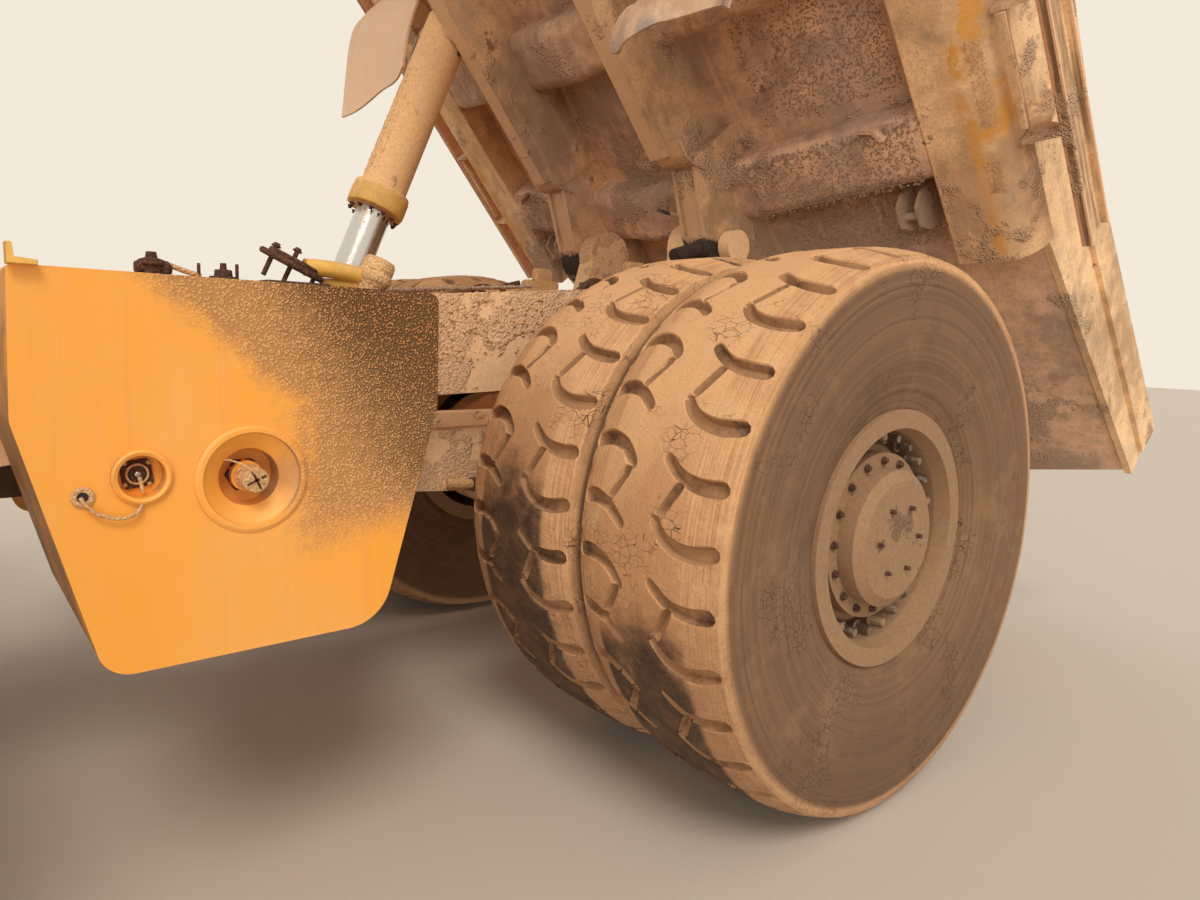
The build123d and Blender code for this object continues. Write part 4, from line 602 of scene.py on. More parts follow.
class Shape:
    """A growing mesh of closed solids, each with one of the piece's finishes."""

    def __init__(self):
        self.shell = bmesh.new()
        self.finishes = []

    def paint(self, faces, finish):
        if finish not in self.finishes:
            self.finishes.append(finish)
        for face in faces:
            face.material_index = self.finishes.index(finish)

    def rings(self, loops, finish, closed=False):
        """Skin over loops of points, with a flat cap on each end unless closed round."""
        rows = [[self.shell.verts.new(p) for p in loop] for loop in loops]
        faces = []
        count = len(rows[0])
        pairs = list(zip(rows, rows[1:] + rows[:1])) if closed else list(zip(rows, rows[1:]))
        for a, b in pairs:
            for i in range(count):
                faces.append(self.shell.faces.new((a[i], a[(i + 1) % count], b[(i + 1) % count], b[i])))
        if not closed:
            faces.append(self.shell.faces.new(rows[0][::-1]))
            faces.append(self.shell.faces.new(rows[-1]))
        self.paint(faces, finish)
        return rows

    def lathe(self, finish, at, direction, profile, steps=28):
        """Solid turned about a line from at; profile holds (distance along, radius)."""
        place = Matrix.Translation(at) @ turn_to(direction)
        loops = []
        for reach, radius in profile:
            loops.append([place @ Vector((max(radius, 1e-4) * math.cos(2 * math.pi * k / steps),
                                          max(radius, 1e-4) * math.sin(2 * math.pi * k / steps), reach))
                          for k in range(steps)])
        self.rings(loops, finish)

    def ring(self, finish, at, direction, profile, steps=40):
        """Closed ring turned about a line; profile is a closed outline of (distance along, radius)."""
        place = Matrix.Translation(at) @ turn_to(direction)
        loops = [[place @ Vector((radius * math.cos(2 * math.pi * k / steps),
                                  radius * math.sin(2 * math.pi * k / steps), reach)) for k in range(steps)]
                 for reach, radius in profile]
        self.rings(loops, finish, closed=True)

    def tube(self, finish, path, radius, sides=10, taper=None):
        """Round bar or hose along a path of points."""
        points = [Vector(p) for p in path]
        loops = []
        side = None
        for i, p in enumerate(points):
            ahead = (points[min(i + 1, len(points) - 1)] - points[max(i - 1, 0)]).normalized()
            if side is None:
                side = ahead.orthogonal().normalized()
            side = (side - ahead * side.dot(ahead)).normalized()
            other = ahead.cross(side)
            size = radius if taper is None else radius + (taper - radius) * i / (len(points) - 1)
            turns = [2 * math.pi * k / sides for k in range(sides)]
            loops.append([p + (side * math.cos(t) + other * math.sin(t)) * size for t in turns])
        self.rings(loops, finish)

    def hoop(self, finish, axis, level, low, high, corner, radius, sides=8):
        """Rubber bead round a window; axis is the one that the window stands across."""
        middle = []
        for turn, (a, b) in enumerate(((high[0] - corner, high[1] - corner), (low[0] + corner, high[1] - corner),
                                       (low[0] + corner, low[1] + corner), (high[0] - corner, low[1] + corner))):
            for k in range(5):
                way = math.pi / 2 * (turn + k / 4)
                middle.append((Vector((a + corner * math.cos(way), b + corner * math.sin(way))),
                               Vector((math.cos(way), math.sin(way)))))
        loops = []
        for p, out in middle:
            loop = []
            for k in range(sides):
                way = 2 * math.pi * k / sides
                flat = p + out * radius * math.cos(way)
                rise = level + radius * math.sin(way)
                loop.append(Vector((rise, flat.x, flat.y)) if axis == 0 else Vector((flat.x, rise, flat.y)))
            loops.append(loop)
        self.rings(loops, finish, closed=True)

    def prism(self, finish, outline, place, thickness, bevel=0.0):
        """Plate with an outline in the place's own x and y, thick along its z, with softened edges."""
        levels = [(0.0, bevel), (bevel, 0.0), (thickness - bevel, 0.0), (thickness, bevel)] if bevel else \
            [(0.0, 0.0), (thickness, 0.0)]
        middle = Vector((sum(p[0] for p in outline) / len(outline), sum(p[1] for p in outline) / len(outline)))
        loops = []
        for height, inset in levels:
            loop = []
            for p in outline:
                arm = Vector(p) - middle
                flat = middle + arm * max(0.0, 1 - inset / max(arm.length, 1e-6))
                loop.append(place @ Vector((flat.x, flat.y, height)))
            loops.append(loop)
        self.rings(loops, finish)

    def brick(self, finish, low, high, bevel=0.004):
        """Block between any two opposite corners, with softened edges."""
        low, high = Vector(map(min, low, high)), Vector(map(max, low, high))
        size = high - low
        c = min(bevel, min(size) * 0.4)
        outline = [(c, 0), (size.x - c, 0), (size.x, c), (size.x, size.y - c), (size.x - c, size.y), (c, size.y),
                   (0, size.y - c), (0, c)]
        self.prism(finish, outline, Matrix.Translation(low), size.z, c)

    def bolt(self, finish, at, direction, size=0.018):
        """Hexagon head on a washer."""
        self.lathe(finish, at, direction, [(-size * 0.2, size * 1.15), (size * 0.12, size * 1.15),
                                           (size * 0.16, size * 1.08)], 16)
        self.lathe(finish, at, direction, [(size * 0.1, size * 0.86), (size * 0.62, size * 0.86),
                                           (size * 0.78, size * 0.66)], 6)

    def done(self, name, body, sharp=35):
        bmesh.ops.recalc_face_normals(self.shell, faces=self.shell.faces)
        made = finish_mesh(name, self.shell, [FINISHES[f] for f in self.finishes], sharp)
        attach(made, body)
        return made


def in_bed(x, along, up):
    """Place on the parked truck of a point given in the raised bed's frame."""
    return Vector((x, HINGE.y + along * math.cos(BED_ANGLE) + up * math.sin(BED_ANGLE),
                   HINGE.z - along * math.sin(BED_ANGLE) + up * math.cos(BED_ANGLE)))


BED_PLACE = Matrix.Translation(HINGE) @ Matrix.Rotation(-BED_ANGLE, 4, "X")


def arc_path(points, parts=8):
    """Smooth path through points in space."""
    return smooth_line([Vector(p) for p in points], parts)


# Tyres

PITCHES = 17
PITCH = 360 / PITCHES
RING_STEPS = 170
TREAD_U = 0.322
# Middle line of each groove on the outer half: across the tread from its centre (m), degrees, half width (m)
GROOVES = [
    [(0.078, 18.90, 0.021), (0.103, 17.90, 0.023), (0.133, 16.80, 0.024), (0.165, 15.95, 0.025)],
    [(0.165, 15.95, 0.025), (0.205, 15.45, 0.028), (0.245, 15.30, 0.030), (0.285, 15.50, 0.031)],
    [(0.146, 14.45, 0.022), (0.092, 9.70, 0.023)],
    [(0.072, 8.30, 0.022), (0.090, 7.20, 0.024), (0.118, 5.85, 0.025), (0.155, 4.90, 0.027),
     (0.200, 4.35, 0.029), (0.245, 4.35, 0.031), (0.290, 4.90, 0.030)],
]
GROOVE_DEPTH = 0.036
LIP_WIDTH = 0.004
LIP_DEPTH = 0.006
WALL_WIDTH = 0.009
SIDE_PROFILE = [
    # across from the tyre's middle, radius: shoulder, ridge, sidewall, bead, then the inside
    (0.3265, 1.012), (0.3300, 0.990), (0.3325, 0.965), (0.3310, 0.957), (0.3345, 0.951), (0.3345, 0.941),
    (0.3310, 0.935), (0.3325, 0.925), (0.3310, 0.918), (0.3320, 0.900), (0.3300, 0.850), (0.3270, 0.790),
    (0.3220, 0.730), (0.3150, 0.680), (0.3060, 0.635), (0.2960, 0.600), (0.2900, 0.588), (0.2890, 0.578),
    (0.2810, 0.560), (0.2700, 0.545), (0.2680, 0.534), (0.2600, 0.520), (0.2555, 0.500), (0.2520, 0.489),
    (0.2480, 0.470), (0.2460, 0.452), (0.2200, 0.4460), (0.1200, 0.4455),
]


def crown(u):
    """Radius of the worn tread across its width."""
    drop = max(0.0, abs(u) - 0.09) / (TREAD_U - 0.09)
    return TYRE_R - 0.046 * drop ** 2.3


def groove_strokes():
    """Both halves' grooves over one pitch, as smooth middle lines of (u, along, half width)."""
    arc = math.radians(1) * TYRE_R
    strokes = []
    for line in GROOVES:
        outer = [Vector((u, degrees * arc, w)) for u, degrees, w in line]
        inner = [Vector((-p.x, 3.98 * arc - p.y, p.z)) for p in outer]
        for points in (outer, inner):
            if len(points) > 2:
                points = smooth_line(points, 3)
            strokes.append(points)
    return strokes


def smooth_line(points, parts):
    """Curve through all the points, each stretch divided into parts."""
    whole = []
    for i in range(len(points) - 1):
        before = points[i - 1] if i else points[i] * 2 - points[i + 1]
        after = points[i + 2] if i + 2 < len(points) else points[i + 1] * 2 - points[i]
        for k in range(parts):
            t = k / parts
            a, b, c, d = before, points[i], points[i + 1], after
            whole.append(0.5 * ((2 * b) + (c - a) * t + (2 * a - 5 * b + 4 * c - d) * t * t
                                + (3 * b - a - 3 * c + d) * t ** 3))
    return whole + [points[-1]]


def outline_of(stroke, inset):
    """Closed outline round a stroke, inset from its edge, or None where the stroke is too thin."""
    if min(p.z for p in stroke) - inset < 0.001:
        return None
    left, right = [], []
    for i, p in enumerate(stroke):
        ahead = stroke[min(i + 1, len(stroke) - 1)] - stroke[max(i - 1, 0)]
        side = Vector((-ahead.y, ahead.x)).normalized() * (p.z - inset)
        left.append(Vector((p.x, p.y)) + side)
        right.append(Vector((p.x, p.y)) - side)
    caps = []
    for end, near, sign in ((stroke[-1], left[-1], -1), (stroke[0], right[0], -1)):
        middle = Vector((end.x, end.y))
        arm = near - middle
        caps.append([middle + Matrix.Rotation(sign * math.pi * k / 5, 2) @ arm for k in range(1, 5)])
    return left + caps[0] + right[::-1] + caps[1]


def groove_depth(u, along, strokes, span):
    """How deep the tread is cut at a point: a steep wall with a small chamfer at its lip."""
    inside = -1.0
    for stroke in strokes:
        for i in range(len(stroke) - 1):
            a, b = stroke[i], stroke[i + 1]
            for shift in (0, -span, span):
                dx, dy = b.x - a.x, b.y - a.y
                px, py = u - a.x, along - a.y - shift
                if abs(py) > 0.16 or abs(px) > 0.16:
                    continue
                t = min(1, max(0, (px * dx + py * dy) / (dx * dx + dy * dy)))
                gap = math.hypot(px - dx * t, py - dy * t)
                inside = max(inside, a.z + (b.z - a.z) * t - gap)
    if inside <= 1e-5:
        return 0.0
    if inside < LIP_WIDTH:
        return LIP_DEPTH * inside / LIP_WIDTH
    return min(GROOVE_DEPTH, LIP_DEPTH + (GROOVE_DEPTH - LIP_DEPTH) * (inside - LIP_WIDTH) / WALL_WIDTH)


def tread_template():
    """Points (u, along, radius) and triangles of the whole tread, cut once and used for all tyres."""
    arc = math.radians(1) * TYRE_R
    span = PITCH * arc
    length = span * PITCHES
    strokes = groove_strokes()
    points, edges, lookup = [], [], {}

    def put(u, along):
        key = (round(u, 5), round(along, 5))
        if key not in lookup:
            lookup[key] = len(points)
            points.append(Vector((u, along)))
        return lookup[key]

    steps = 10
    columns = [-TREAD_U + 2 * TREAD_U * k / 22 for k in range(23)]
    for k in range(-2, PITCHES * steps + 3):
        for u in columns:
            put(u, length * k / (PITCHES * steps))
    for edge_along in (0.0, length):
        row = [put(u, edge_along) for u in columns]
        edges += list(zip(row, row[1:]))
    for k in range(-1, PITCHES + 1):
        for stroke in strokes:
            for inset in (0.0, LIP_WIDTH, LIP_WIDTH + WALL_WIDTH):
                outline = outline_of(stroke, inset)
                if outline is None:
                    continue
                ids = [put(p.x, p.y + k * span) for p in outline]
                edges += [(a, b) for a, b in zip(ids, ids[1:] + ids[:1]) if a != b]
    found, _, faces, *_ = delaunay_2d_cdt(points, edges, [], 0, 1e-6)
    kept = [face for face in faces if 0 < sum(found[i].y for i in face) / len(face) < length
            and abs(sum(found[i].x for i in face) / len(face)) < TREAD_U]
    depth = {}
    for face in kept:
        for i in face:
            if i not in depth:
                depth[i] = groove_depth(found[i].x, found[i].y % span, strokes, span)
    return [(p.x, p.y, crown(p.x) - depth.get(i, 0)) for i, p in enumerate(found)], kept


def build_tyre(name, x, y, mirror, turn, template):
    """One tyre: the cut tread, shoulders, ridged sidewalls and beads as a closed shell."""
    points, faces = template
    shell = bmesh.new()
    sign = -1 if mirror else 1
    made = {}

    def corner(i):
        if i not in made:
            u, along, radius = points[i]
            angle = along / TYRE_R + turn
            rough = 0.0012 * math.sin(u * 61 + along * 23) * math.sin(along * 37 - u * 17)
            made[i] = shell.verts.new((x + sign * u, y - math.cos(angle) * (radius + rough),
                                       AXLE_Z + math.sin(angle) * (radius + rough)))
        return made[i]

    for face in faces:
        made_face = shell.faces.new([corner(i) for i in face])
        # faces sunk into a groove take the darker groove finish: painted shade in the grooves
        sunk = sum(crown(points[i][0]) - points[i][2] for i in face) / len(face)
        made_face.material_index = 1 if sunk > 0.012 else 0
    bmesh.ops.remove_doubles(shell, verts=shell.verts, dist=0.00015)
    ways = [2 * math.pi * k / RING_STEPS + turn for k in range(RING_STEPS)]

    def ring(across, radius):
        return [shell.verts.new((x + sign * across, y - math.cos(way) * radius, AXLE_Z + math.sin(way) * radius))
                for way in ways]

    def skin(a, b):
        for k in range(RING_STEPS):
            after = (k + 1) % RING_STEPS
            shell.faces.new((a[k], a[after], b[after], b[k]))

    beads = []
    for side in (1, -1):
        last = ring(side * TREAD_U, crown(TREAD_U))
        for across, radius in SIDE_PROFILE:
            made_ring = ring(side * across, radius)
            skin(last, made_ring)
            last = made_ring
        beads.append(last)
    skin(*beads)
    bmesh.ops.remove_doubles(shell, verts=shell.verts, dist=0.0003)
    bmesh.ops.recalc_face_normals(shell, faces=shell.faces)
    return finish_mesh(name, shell, [FINISHES["tyre"], FINISHES["groove"]], 32)


def finish_mesh(name, shell, materials, sharp=35):
    """Turns a bmesh into a smooth-shaded object at the origin, with sharp edges past an angle."""
    mesh = bpy.data.meshes.new(name)
    shell.to_mesh(mesh)
    shell.free()
    for material in materials:
        mesh.materials.append(material)
    mesh.shade_smooth()
    mesh.set_sharp_from_angle(angle=math.radians(sharp))
    made = bpy.data.objects.new(name, mesh)
    bpy.context.scene.collection.objects.link(made)
    return made


TYRES = [
    # piece, node, body, x, y, mirrored, turn in degrees
    ("tyre_rear_left_outer", "rear_tyres_left", "wheel_rear_left", REAR_OUTER_X, REAR_AXLE_Y, False, 0.0),
    ("tyre_rear_left_inner", "rear_tyres_left", "wheel_rear_left", REAR_INNER_X, REAR_AXLE_Y, False, 1.15),
    ("tyre_rear_right_outer", "rear_tyres_right", "wheel_rear_right", -REAR_OUTER_X, REAR_AXLE_Y, True, 7.0),
    ("tyre_rear_right_inner", "rear_tyres_right", "wheel_rear_right", -REAR_INNER_X, REAR_AXLE_Y, True, 13.0),
    ("tyre_front_left", "front_tyre_left", "wheel_front_left", FRONT_WHEEL_X, FRONT_AXLE_Y, False, 4.0),
    ("tyre_front_right", "front_tyre_right", "wheel_front_right", -FRONT_WHEEL_X, FRONT_AXLE_Y, True, 9.0),
]


class TRUCK_OT_tyres(bpy.types.Operator):
    """Cuts the hooked grooves into one tread and builds the six tyres from it."""

    bl_idname = "truck.tyres"
    bl_label = "Tyres"

    def execute(self, context):
        template = tread_template()
        for name, node, body, x, y, mirrored, turn in TYRES:
            tyre = build_tyre(name, x, y, mirrored, math.radians(turn), template)
            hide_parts(node)
            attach(tyre, body)
        return {"FINISHED"}


# Fuel tank fittings

FILLER = Vector((TANK_X, -0.209, 1.395))
GAUGE = Vector((TANK_X, -0.464, 1.421))
GROMMET = Vector((TANK_X, -0.586, 1.382))


def above(y, height, x=1.30):
    """Place at a height over the tank's top."""
    return Vector((x, y, TANK_TOP + height))


class TRUCK_OT_tank(bpy.types.Operator):
    """Filler coupling, gauge, tethers and the fittings on the tank's top."""

    bl_idname = "truck.tank"
    bl_label = "Tank fittings"

    def execute(self, context):
        self.coupling()
        self.gauge()
        self.top()
        self.cover()
        self.breather()
        return {"FINISHED"}

    def coupling(self):
        coupling = Shape()

        def near(x, y, z):
            return FILLER + Vector((x, y, z))

        coupling.lathe("rust", near(-0.090, 0, 0), SIDEWAYS, [(0, 0.046), (0.022, 0.046), (0.026, 0.042)], 6)
        coupling.lathe("tan", near(-0.046, 0, 0), SIDEWAYS,
                       [(0, 0.0315), (0.010, 0.0335), (0.014, 0.0315), (0.022, 0.0335), (0.028, 0.0315),
                        (0.036, 0.0335), (0.042, 0.0315), (0.060, 0.0325), (0.071, 0.0325), (0.076, 0.030),
                        (0.077, 0.010)], 36)
        for angle in (25, 115):
            coupling.prism("rust", rectangle(0.0032, 0.026), Matrix.Translation(near(0.0295, 0, 0))
                           @ Matrix.Rotation(math.radians(angle), 4, "X") @ FACING_LEFT, 0.0022)
        ear = near(-0.052, -0.070, 0.044)
        coupling.tube("tan", arc_path([ear, near(-0.01, -0.052, 0.050), near(0.024, -0.022, 0.036),
                                       near(0.034, 0.004, 0.010), near(0.033, 0.018, -0.010)]), 0.0026, 8)
        coupling.bolt("rust", ear, SIDEWAYS, 0.009)
        coupling.done("filler_coupling", "chassis")

    def gauge(self):
        gauge = Shape()
        back = GAUGE + Vector((-0.0395, -0.004, 0.002))
        plate = Matrix.Translation(back) @ Matrix.Rotation(math.radians(8), 4, "X") @ FACING_LEFT
        wide, cut = 0.034, 0.034 - 0.008
        gauge.prism("rust", [(wide, cut), (cut, wide), (-cut, wide), (-wide, cut), (-wide, -cut), (-cut, -wide),
                             (cut, -wide), (wide, -cut)], plate, 0.006, 0.001)
        rim = back + Vector((0.006, 0, 0))
        gauge.ring("tan", rim, SIDEWAYS, [(0, 0.026), (0.007, 0.026), (0.009, 0.024), (0.007, 0.021), (0, 0.021)])
        gauge.lathe("rust", rim, SIDEWAYS, [(0, 0.0195), (0.003, 0.0195), (0.004, 0.012)])
        gauge.lathe("bolt", back + Vector((0.009, 0, 0)), SIDEWAYS, [(0, 0.008), (0.010, 0.007), (0.012, 0.004)], 12)
        for dz in (0.026, -0.026):
            for dy in (0.026, -0.026):
                gauge.bolt("tan", rim + Vector((0, dy, dz)), SIDEWAYS, 0.0045)
        gauge.tube("tan", [back + Vector(p) for p in ((0.016, 0.004, -0.008), (0.024, 0.006, -0.026),
                                                      (0.026, 0.008, -0.044))], 0.005, 10, 0.0035)
        gauge.done("tank_gauge", "chassis")

        grommet = Shape()
        grommet.ring("tan", GROMMET, SIDEWAYS,
                     [(-0.002, 0.025), (0.004, 0.025), (0.007, 0.020), (0.006, 0.0125), (-0.002, 0.0115)], 28)
        grommet.lathe("dark", GROMMET, SIDEWAYS, [(-0.001, 0.0125), (0.0012, 0.0125), (0.0014, 0.004)], 20)
        grommet.tube("tan", arc_path([(1.500, -0.590, 1.380), (1.512, -0.583, 1.366), (1.517, -0.558, 1.342),
                                      (1.517, -0.520, 1.328), (1.516, -0.490, 1.332), (1.512, -0.472, 1.345),
                                      (1.503, -0.466, 1.358)]), 0.0047, 10)
        grommet.done("tank_grommet", "chassis")

    def top(self):
        top = Shape()
        # forged valve at the front
        top.lathe("rust", above(-0.386, -0.002), UP,
                  [(0, 0.040), (0.010, 0.040), (0.012, 0.026), (0.030, 0.026), (0.034, 0.033), (0.046, 0.030),
                   (0.052, 0.014), (0.066, 0.012)], 14)
        top.lathe("rust", above(-0.425, 0.024), BACKWARD,
                  [(0, 0.014), (0.012, 0.020), (0.075, 0.020), (0.085, 0.012)], 10)
        # lever and rod beside it
        top.tube("tan", [above(-0.345, 0.034), above(-0.31, 0.022), above(-0.27, 0.012)], 0.007, 8)
        top.prism("rust", [(-0.007, 0), (0.007, 0), (0.006, 0.045), (-0.005, 0.045)],
                  Matrix.Translation(above(-0.272, 0)) @ UPRIGHT, 0.006)
        # low flange with its stud
        top.lathe("rust", above(-0.214, -0.002), UP,
                  [(0, 0.036), (0.016, 0.036), (0.018, 0.024), (0.034, 0.022), (0.036, 0.009), (0.052, 0.008)], 12)
        top.prism("rust", [(-0.006, 0), (0.006, 0), (0.006, 0.050), (-0.006, 0.050)],
                  Matrix.Translation(above(-0.176, 0)) @ UPRIGHT, 0.006)
        # small angle at the front corner
        top.prism("yellow", [(0, 0), (0.055, 0), (0.055, 0.010), (0.012, 0.014), (0.010, 0.045), (0, 0.045)],
                  Matrix.Translation(above(-0.704, -0.001, 1.47)) @ ACROSS, 0.06, 0.002)
        top.done("tank_top_valves", "chassis")

    def cover(self):
        cover = Shape()
        tilt = Matrix.Translation((1.38, -0.062, TANK_TOP + 0.048)) @ Matrix.Rotation(math.radians(-24), 4, "X") \
            @ Matrix.Rotation(math.radians(10), 4, "Y")
        oval = [(0.052 * math.cos(t), 0.092 * math.sin(t)) for t in (2 * math.pi * k / 32 for k in range(32))]
        cover.prism("rust", oval, tilt, 0.016, 0.004)
        cover.prism("rust", [(p[0] * 0.72, p[1] * 0.78) for p in oval], tilt @ Matrix.Translation((0, 0, 0.014)),
                    0.014, 0.004)
        for along, height in ((-0.058, 0.085), (-0.004, 0.10), (0.066, 0.075)):
            foot = tilt @ Vector((0.012, along, -0.052))
            head = tilt @ Vector((0.0, along, height - 0.052))
            cover.tube("rust", [foot, head], 0.0068, 8)
            cover.bolt("rust", head, head - foot, 0.011)
        cover.prism("rust", rectangle(0.045, 0.085), Matrix.Translation((1.38, -0.055, TANK_TOP - 0.001)), 0.010,
                    0.002)
        cover.done("tank_tilted_cover", "chassis")

    def breather(self):
        breather = Shape()
        breather.tube("yellow", arc_path([above(-0.025, 0.052, 1.38), above(0.04, 0.052, 1.38),
                                          above(0.11, 0.046, 1.375), above(0.150, 0.040, 1.37)]), 0.024, 16)
        breather.tube("yellow", [above(0.03, 0.012, 1.36), above(0.15, 0.012, 1.36)], 0.016, 12)
        breather.lathe("tan", above(0.158, -0.012, 1.375), (0.10, 0.36, 0.93),
                       [(0, 0.036), (0.030, 0.038), (0.040, 0.046), (0.046, 0.050), (0.064, 0.050), (0.072, 0.046),
                        (0.078, 0.047), (0.100, 0.046), (0.110, 0.040), (0.114, 0.020)], 26)
        breather.done("tank_breather", "chassis")


# Repeated shapes, grown by node trees


class Grower(NodeWriter):
    """A geometry tree with named number inputs, evaluated once per carrier."""

    def __init__(self, name, numbers):
        self.tree = bpy.data.node_groups.new(name, "GeometryNodeTree")
        self.keys = {}
        self.tree.interface.new_socket("Carrier", in_out="INPUT", socket_type="NodeSocketGeometry")
        for label, kind, value in numbers:
            made = self.tree.interface.new_socket(label, in_out="INPUT", socket_type="NodeSocket" + kind)
            made.default_value = value
            self.keys[label] = made.identifier
        self.tree.interface.new_socket("Grown", in_out="OUTPUT", socket_type="NodeSocketGeometry")
        self.start = self.tree.nodes.new("NodeGroupInput")

    def drawn(self, kind, low, high):
        """Random number or vector between low and high."""
        made = self.add("FunctionNodeRandomValue", {"data_type": kind}, Seed="Seed")
        first, last = [socket for socket in made.inputs if socket.enabled][:2]
        self.set(first, low)
        self.set(last, high)
        return next(socket for socket in made.outputs if socket.enabled)

    def finish(self, instances):
        """Realizes the instances and gives them the finish."""
        real = self.add("GeometryNodeRealizeInstances", Geometry=instances)
        smooth = self.add("GeometryNodeSetShadeSmooth", Geometry=real.outputs[0])
        self.end = self.add("GeometryNodeSetMaterial", Geometry=smooth.outputs[0])
        out = self.tree.nodes.new("NodeGroupOutput")
        self.set(out.inputs[0], self.end.outputs[0])

    def grow(self, carrier, finish, **numbers):
        """Mesh that the tree makes from a carrier mesh."""
        self.end.inputs["Material"].default_value = FINISHES[finish]
        holder = bpy.data.objects.new("carrier", carrier)
        bpy.context.scene.collection.objects.link(holder)
        modifier = holder.modifiers.new("grown", "NODES")
        modifier.node_group = self.tree
        for label, value in numbers.items():
            modifier[self.keys[label.replace("_", " ")]] = value
        holder.update_tag()
        ready = holder.evaluated_get(bpy.context.evaluated_depsgraph_get())
        made = bpy.data.meshes.new_from_object(ready)
        bpy.data.objects.remove(holder)
        return made


def pebble_tree():
    """Pebbles strewn over a surface, thick where a noise is high."""
    g = Grower("strewn_pebbles", [("Density", "Float", 3000.0), ("Smallest", "Float", 0.005),
                                  ("Largest", "Float", 0.010), ("Patch size", "Float", 4.0),
                                  ("Cover", "Float", 0.5), ("Seed", "Int", 1)])
    where = g.add("GeometryNodeInputPosition")
    cloud = g.add("ShaderNodeTexNoise", Vector=where.outputs[0], Scale="Patch size", Detail=5.0, Roughness=0.65)
    low = g.minus(0.82, "Cover")
    amount = g.times(g.step(cloud.outputs[0], low, g.sum(low, 0.09)), "Density")
    points = g.add("GeometryNodeDistributePointsOnFaces", Mesh="Carrier", Density=amount, Seed="Seed")
    ball = g.add("GeometryNodeMeshIcoSphere", Radius=1.0, Subdivisions=1)
    size = g.drawn("FLOAT", "Smallest", "Largest")
    turn = g.drawn("FLOAT_VECTOR", (0, 0, 0), (6.283, 6.283, 6.283))
    squash = g.drawn("FLOAT_VECTOR", (0.65, 0.65, 0.55), (1.25, 1.25, 0.95))
    scale = g.add("ShaderNodeVectorMath", {"operation": "SCALE"})
    g.set(scale.inputs[0], squash)
    g.set(scale.inputs["Scale"], size)
    placed = g.add("GeometryNodeInstanceOnPoints", Points=points.outputs["Points"], Instance=ball.outputs["Mesh"],
                   Rotation=turn, Scale=scale.outputs[0])
    g.finish(placed.outputs[0])
    return g


def bolt_tree():
    """Ring of hexagon heads round the carrier's own origin, facing along its z."""
    g = Grower("bolt_ring", [("Count", "Int", 12), ("Radius", "Float", 0.2), ("Head", "Float", 0.016),
                             ("Height", "Float", 0.014)])
    ring = g.add("GeometryNodeMeshCircle", Vertices="Count", Radius="Radius")
    head = g.add("GeometryNodeMeshCone", Vertices=6, Radius_Bottom="Head", Radius_Top=g.times("Head", 0.84),
                 Depth="Height")
    wide = g.times("Head", 1.35)
    washer = g.add("GeometryNodeMeshCone", Vertices=14, Radius_Bottom=wide, Radius_Top=wide, Depth=0.004)
    both = g.add("GeometryNodeJoinGeometry")
    for part in (head, washer):
        g.set(both.inputs[0], part.outputs["Mesh"])
    placed = g.add("GeometryNodeInstanceOnPoints", Points=ring.outputs["Mesh"], Instance=both.outputs[0])
    g.finish(placed.outputs[0])
    return g


GROWERS = {}


def grown(kind, *arguments, **numbers):
    """Mesh from one of the trees, which is built when it is first needed."""
    if kind not in GROWERS:
        GROWERS[kind] = {"pebbles": pebble_tree, "bolts": bolt_tree}[kind]()
    return GROWERS[kind].grow(*arguments, **numbers)


def patch_mesh(corners, across=12, along=12):
    """Grid between four corners, for the pebbles to lie on."""
    mesh = bpy.data.meshes.new("patch")
    a, b, c, d = (Vector(p) for p in corners)
    points = []
    for i in range(along + 1):
        t = i / along
        for k in range(across + 1):
            q = k / across
            points.append(a.lerp(b, q).lerp(d.lerp(c, q), t))
    faces = []
    for i in range(along):
        for k in range(across):
            first = i * (across + 1) + k
            faces.append((first, first + 1, first + across + 2, first + across + 1))
    mesh.from_pydata(points, [], faces)
    return mesh


def join(shape, mesh, finish):
    before = len(shape.shell.faces)
    shape.shell.from_mesh(mesh)
    shape.shell.faces.ensure_lookup_table()
    shape.paint(shape.shell.faces[before:], finish)
    bpy.data.meshes.remove(mesh)


def add_bolts(shape, finish, at, direction, count, radius, head, height=0.014):
    """Joins a grown ring of bolts to a shape."""
    mesh = grown("bolts", patch_mesh([(0, 0, 0), (0.01, 0, 0), (0.01, 0.01, 0), (0, 0.01, 0)], 1, 1), finish,
                 Count=count, Radius=radius, Head=head, Height=height)
    mesh.transform(Matrix.Translation(at) @ turn_to(direction))
    join(shape, mesh, finish)


def add_pebbles(shape, finish, corners, density, smallest, largest, patch, cover, seed):
    """Joins pebbles grown on a four-cornered patch to a shape."""
    join(shape, grown("pebbles", patch_mesh(corners), finish, Density=density, Smallest=smallest, Largest=largest,
                      Patch_size=patch, Cover=cover, Seed=seed), finish)


# Bed


def coons(low, high, start, end):
    """Rows of points between four edges: low and high run across, start and end run along."""
    rows = []
    for i, (a, b) in enumerate(zip(start, end)):
        t = i / (len(start) - 1)
        row = []
        for k, (c, d) in enumerate(zip(low, high)):
            q = k / (len(low) - 1)
            corner = low[0].lerp(low[-1], q).lerp(high[0].lerp(high[-1], q), t)
            row.append(c.lerp(d, t) + a.lerp(b, q) - corner)
        rows.append(row)
    return rows


def spaced(points, count):
    """Points evenly spaced along a smooth path."""
    path = arc_path(points, 10)
    lengths = [0.0]
    for a, b in zip(path, path[1:]):
        lengths.append(lengths[-1] + (b - a).length)
    made = []
    k = 0
    for i in range(count):
        goal = lengths[-1] * i / (count - 1)
        while k < len(path) - 2 and lengths[k + 1] < goal:
            k += 1
        t = (goal - lengths[k]) / max(1e-9, lengths[k + 1] - lengths[k])
        made.append(path[k].lerp(path[k + 1], t))
    return made


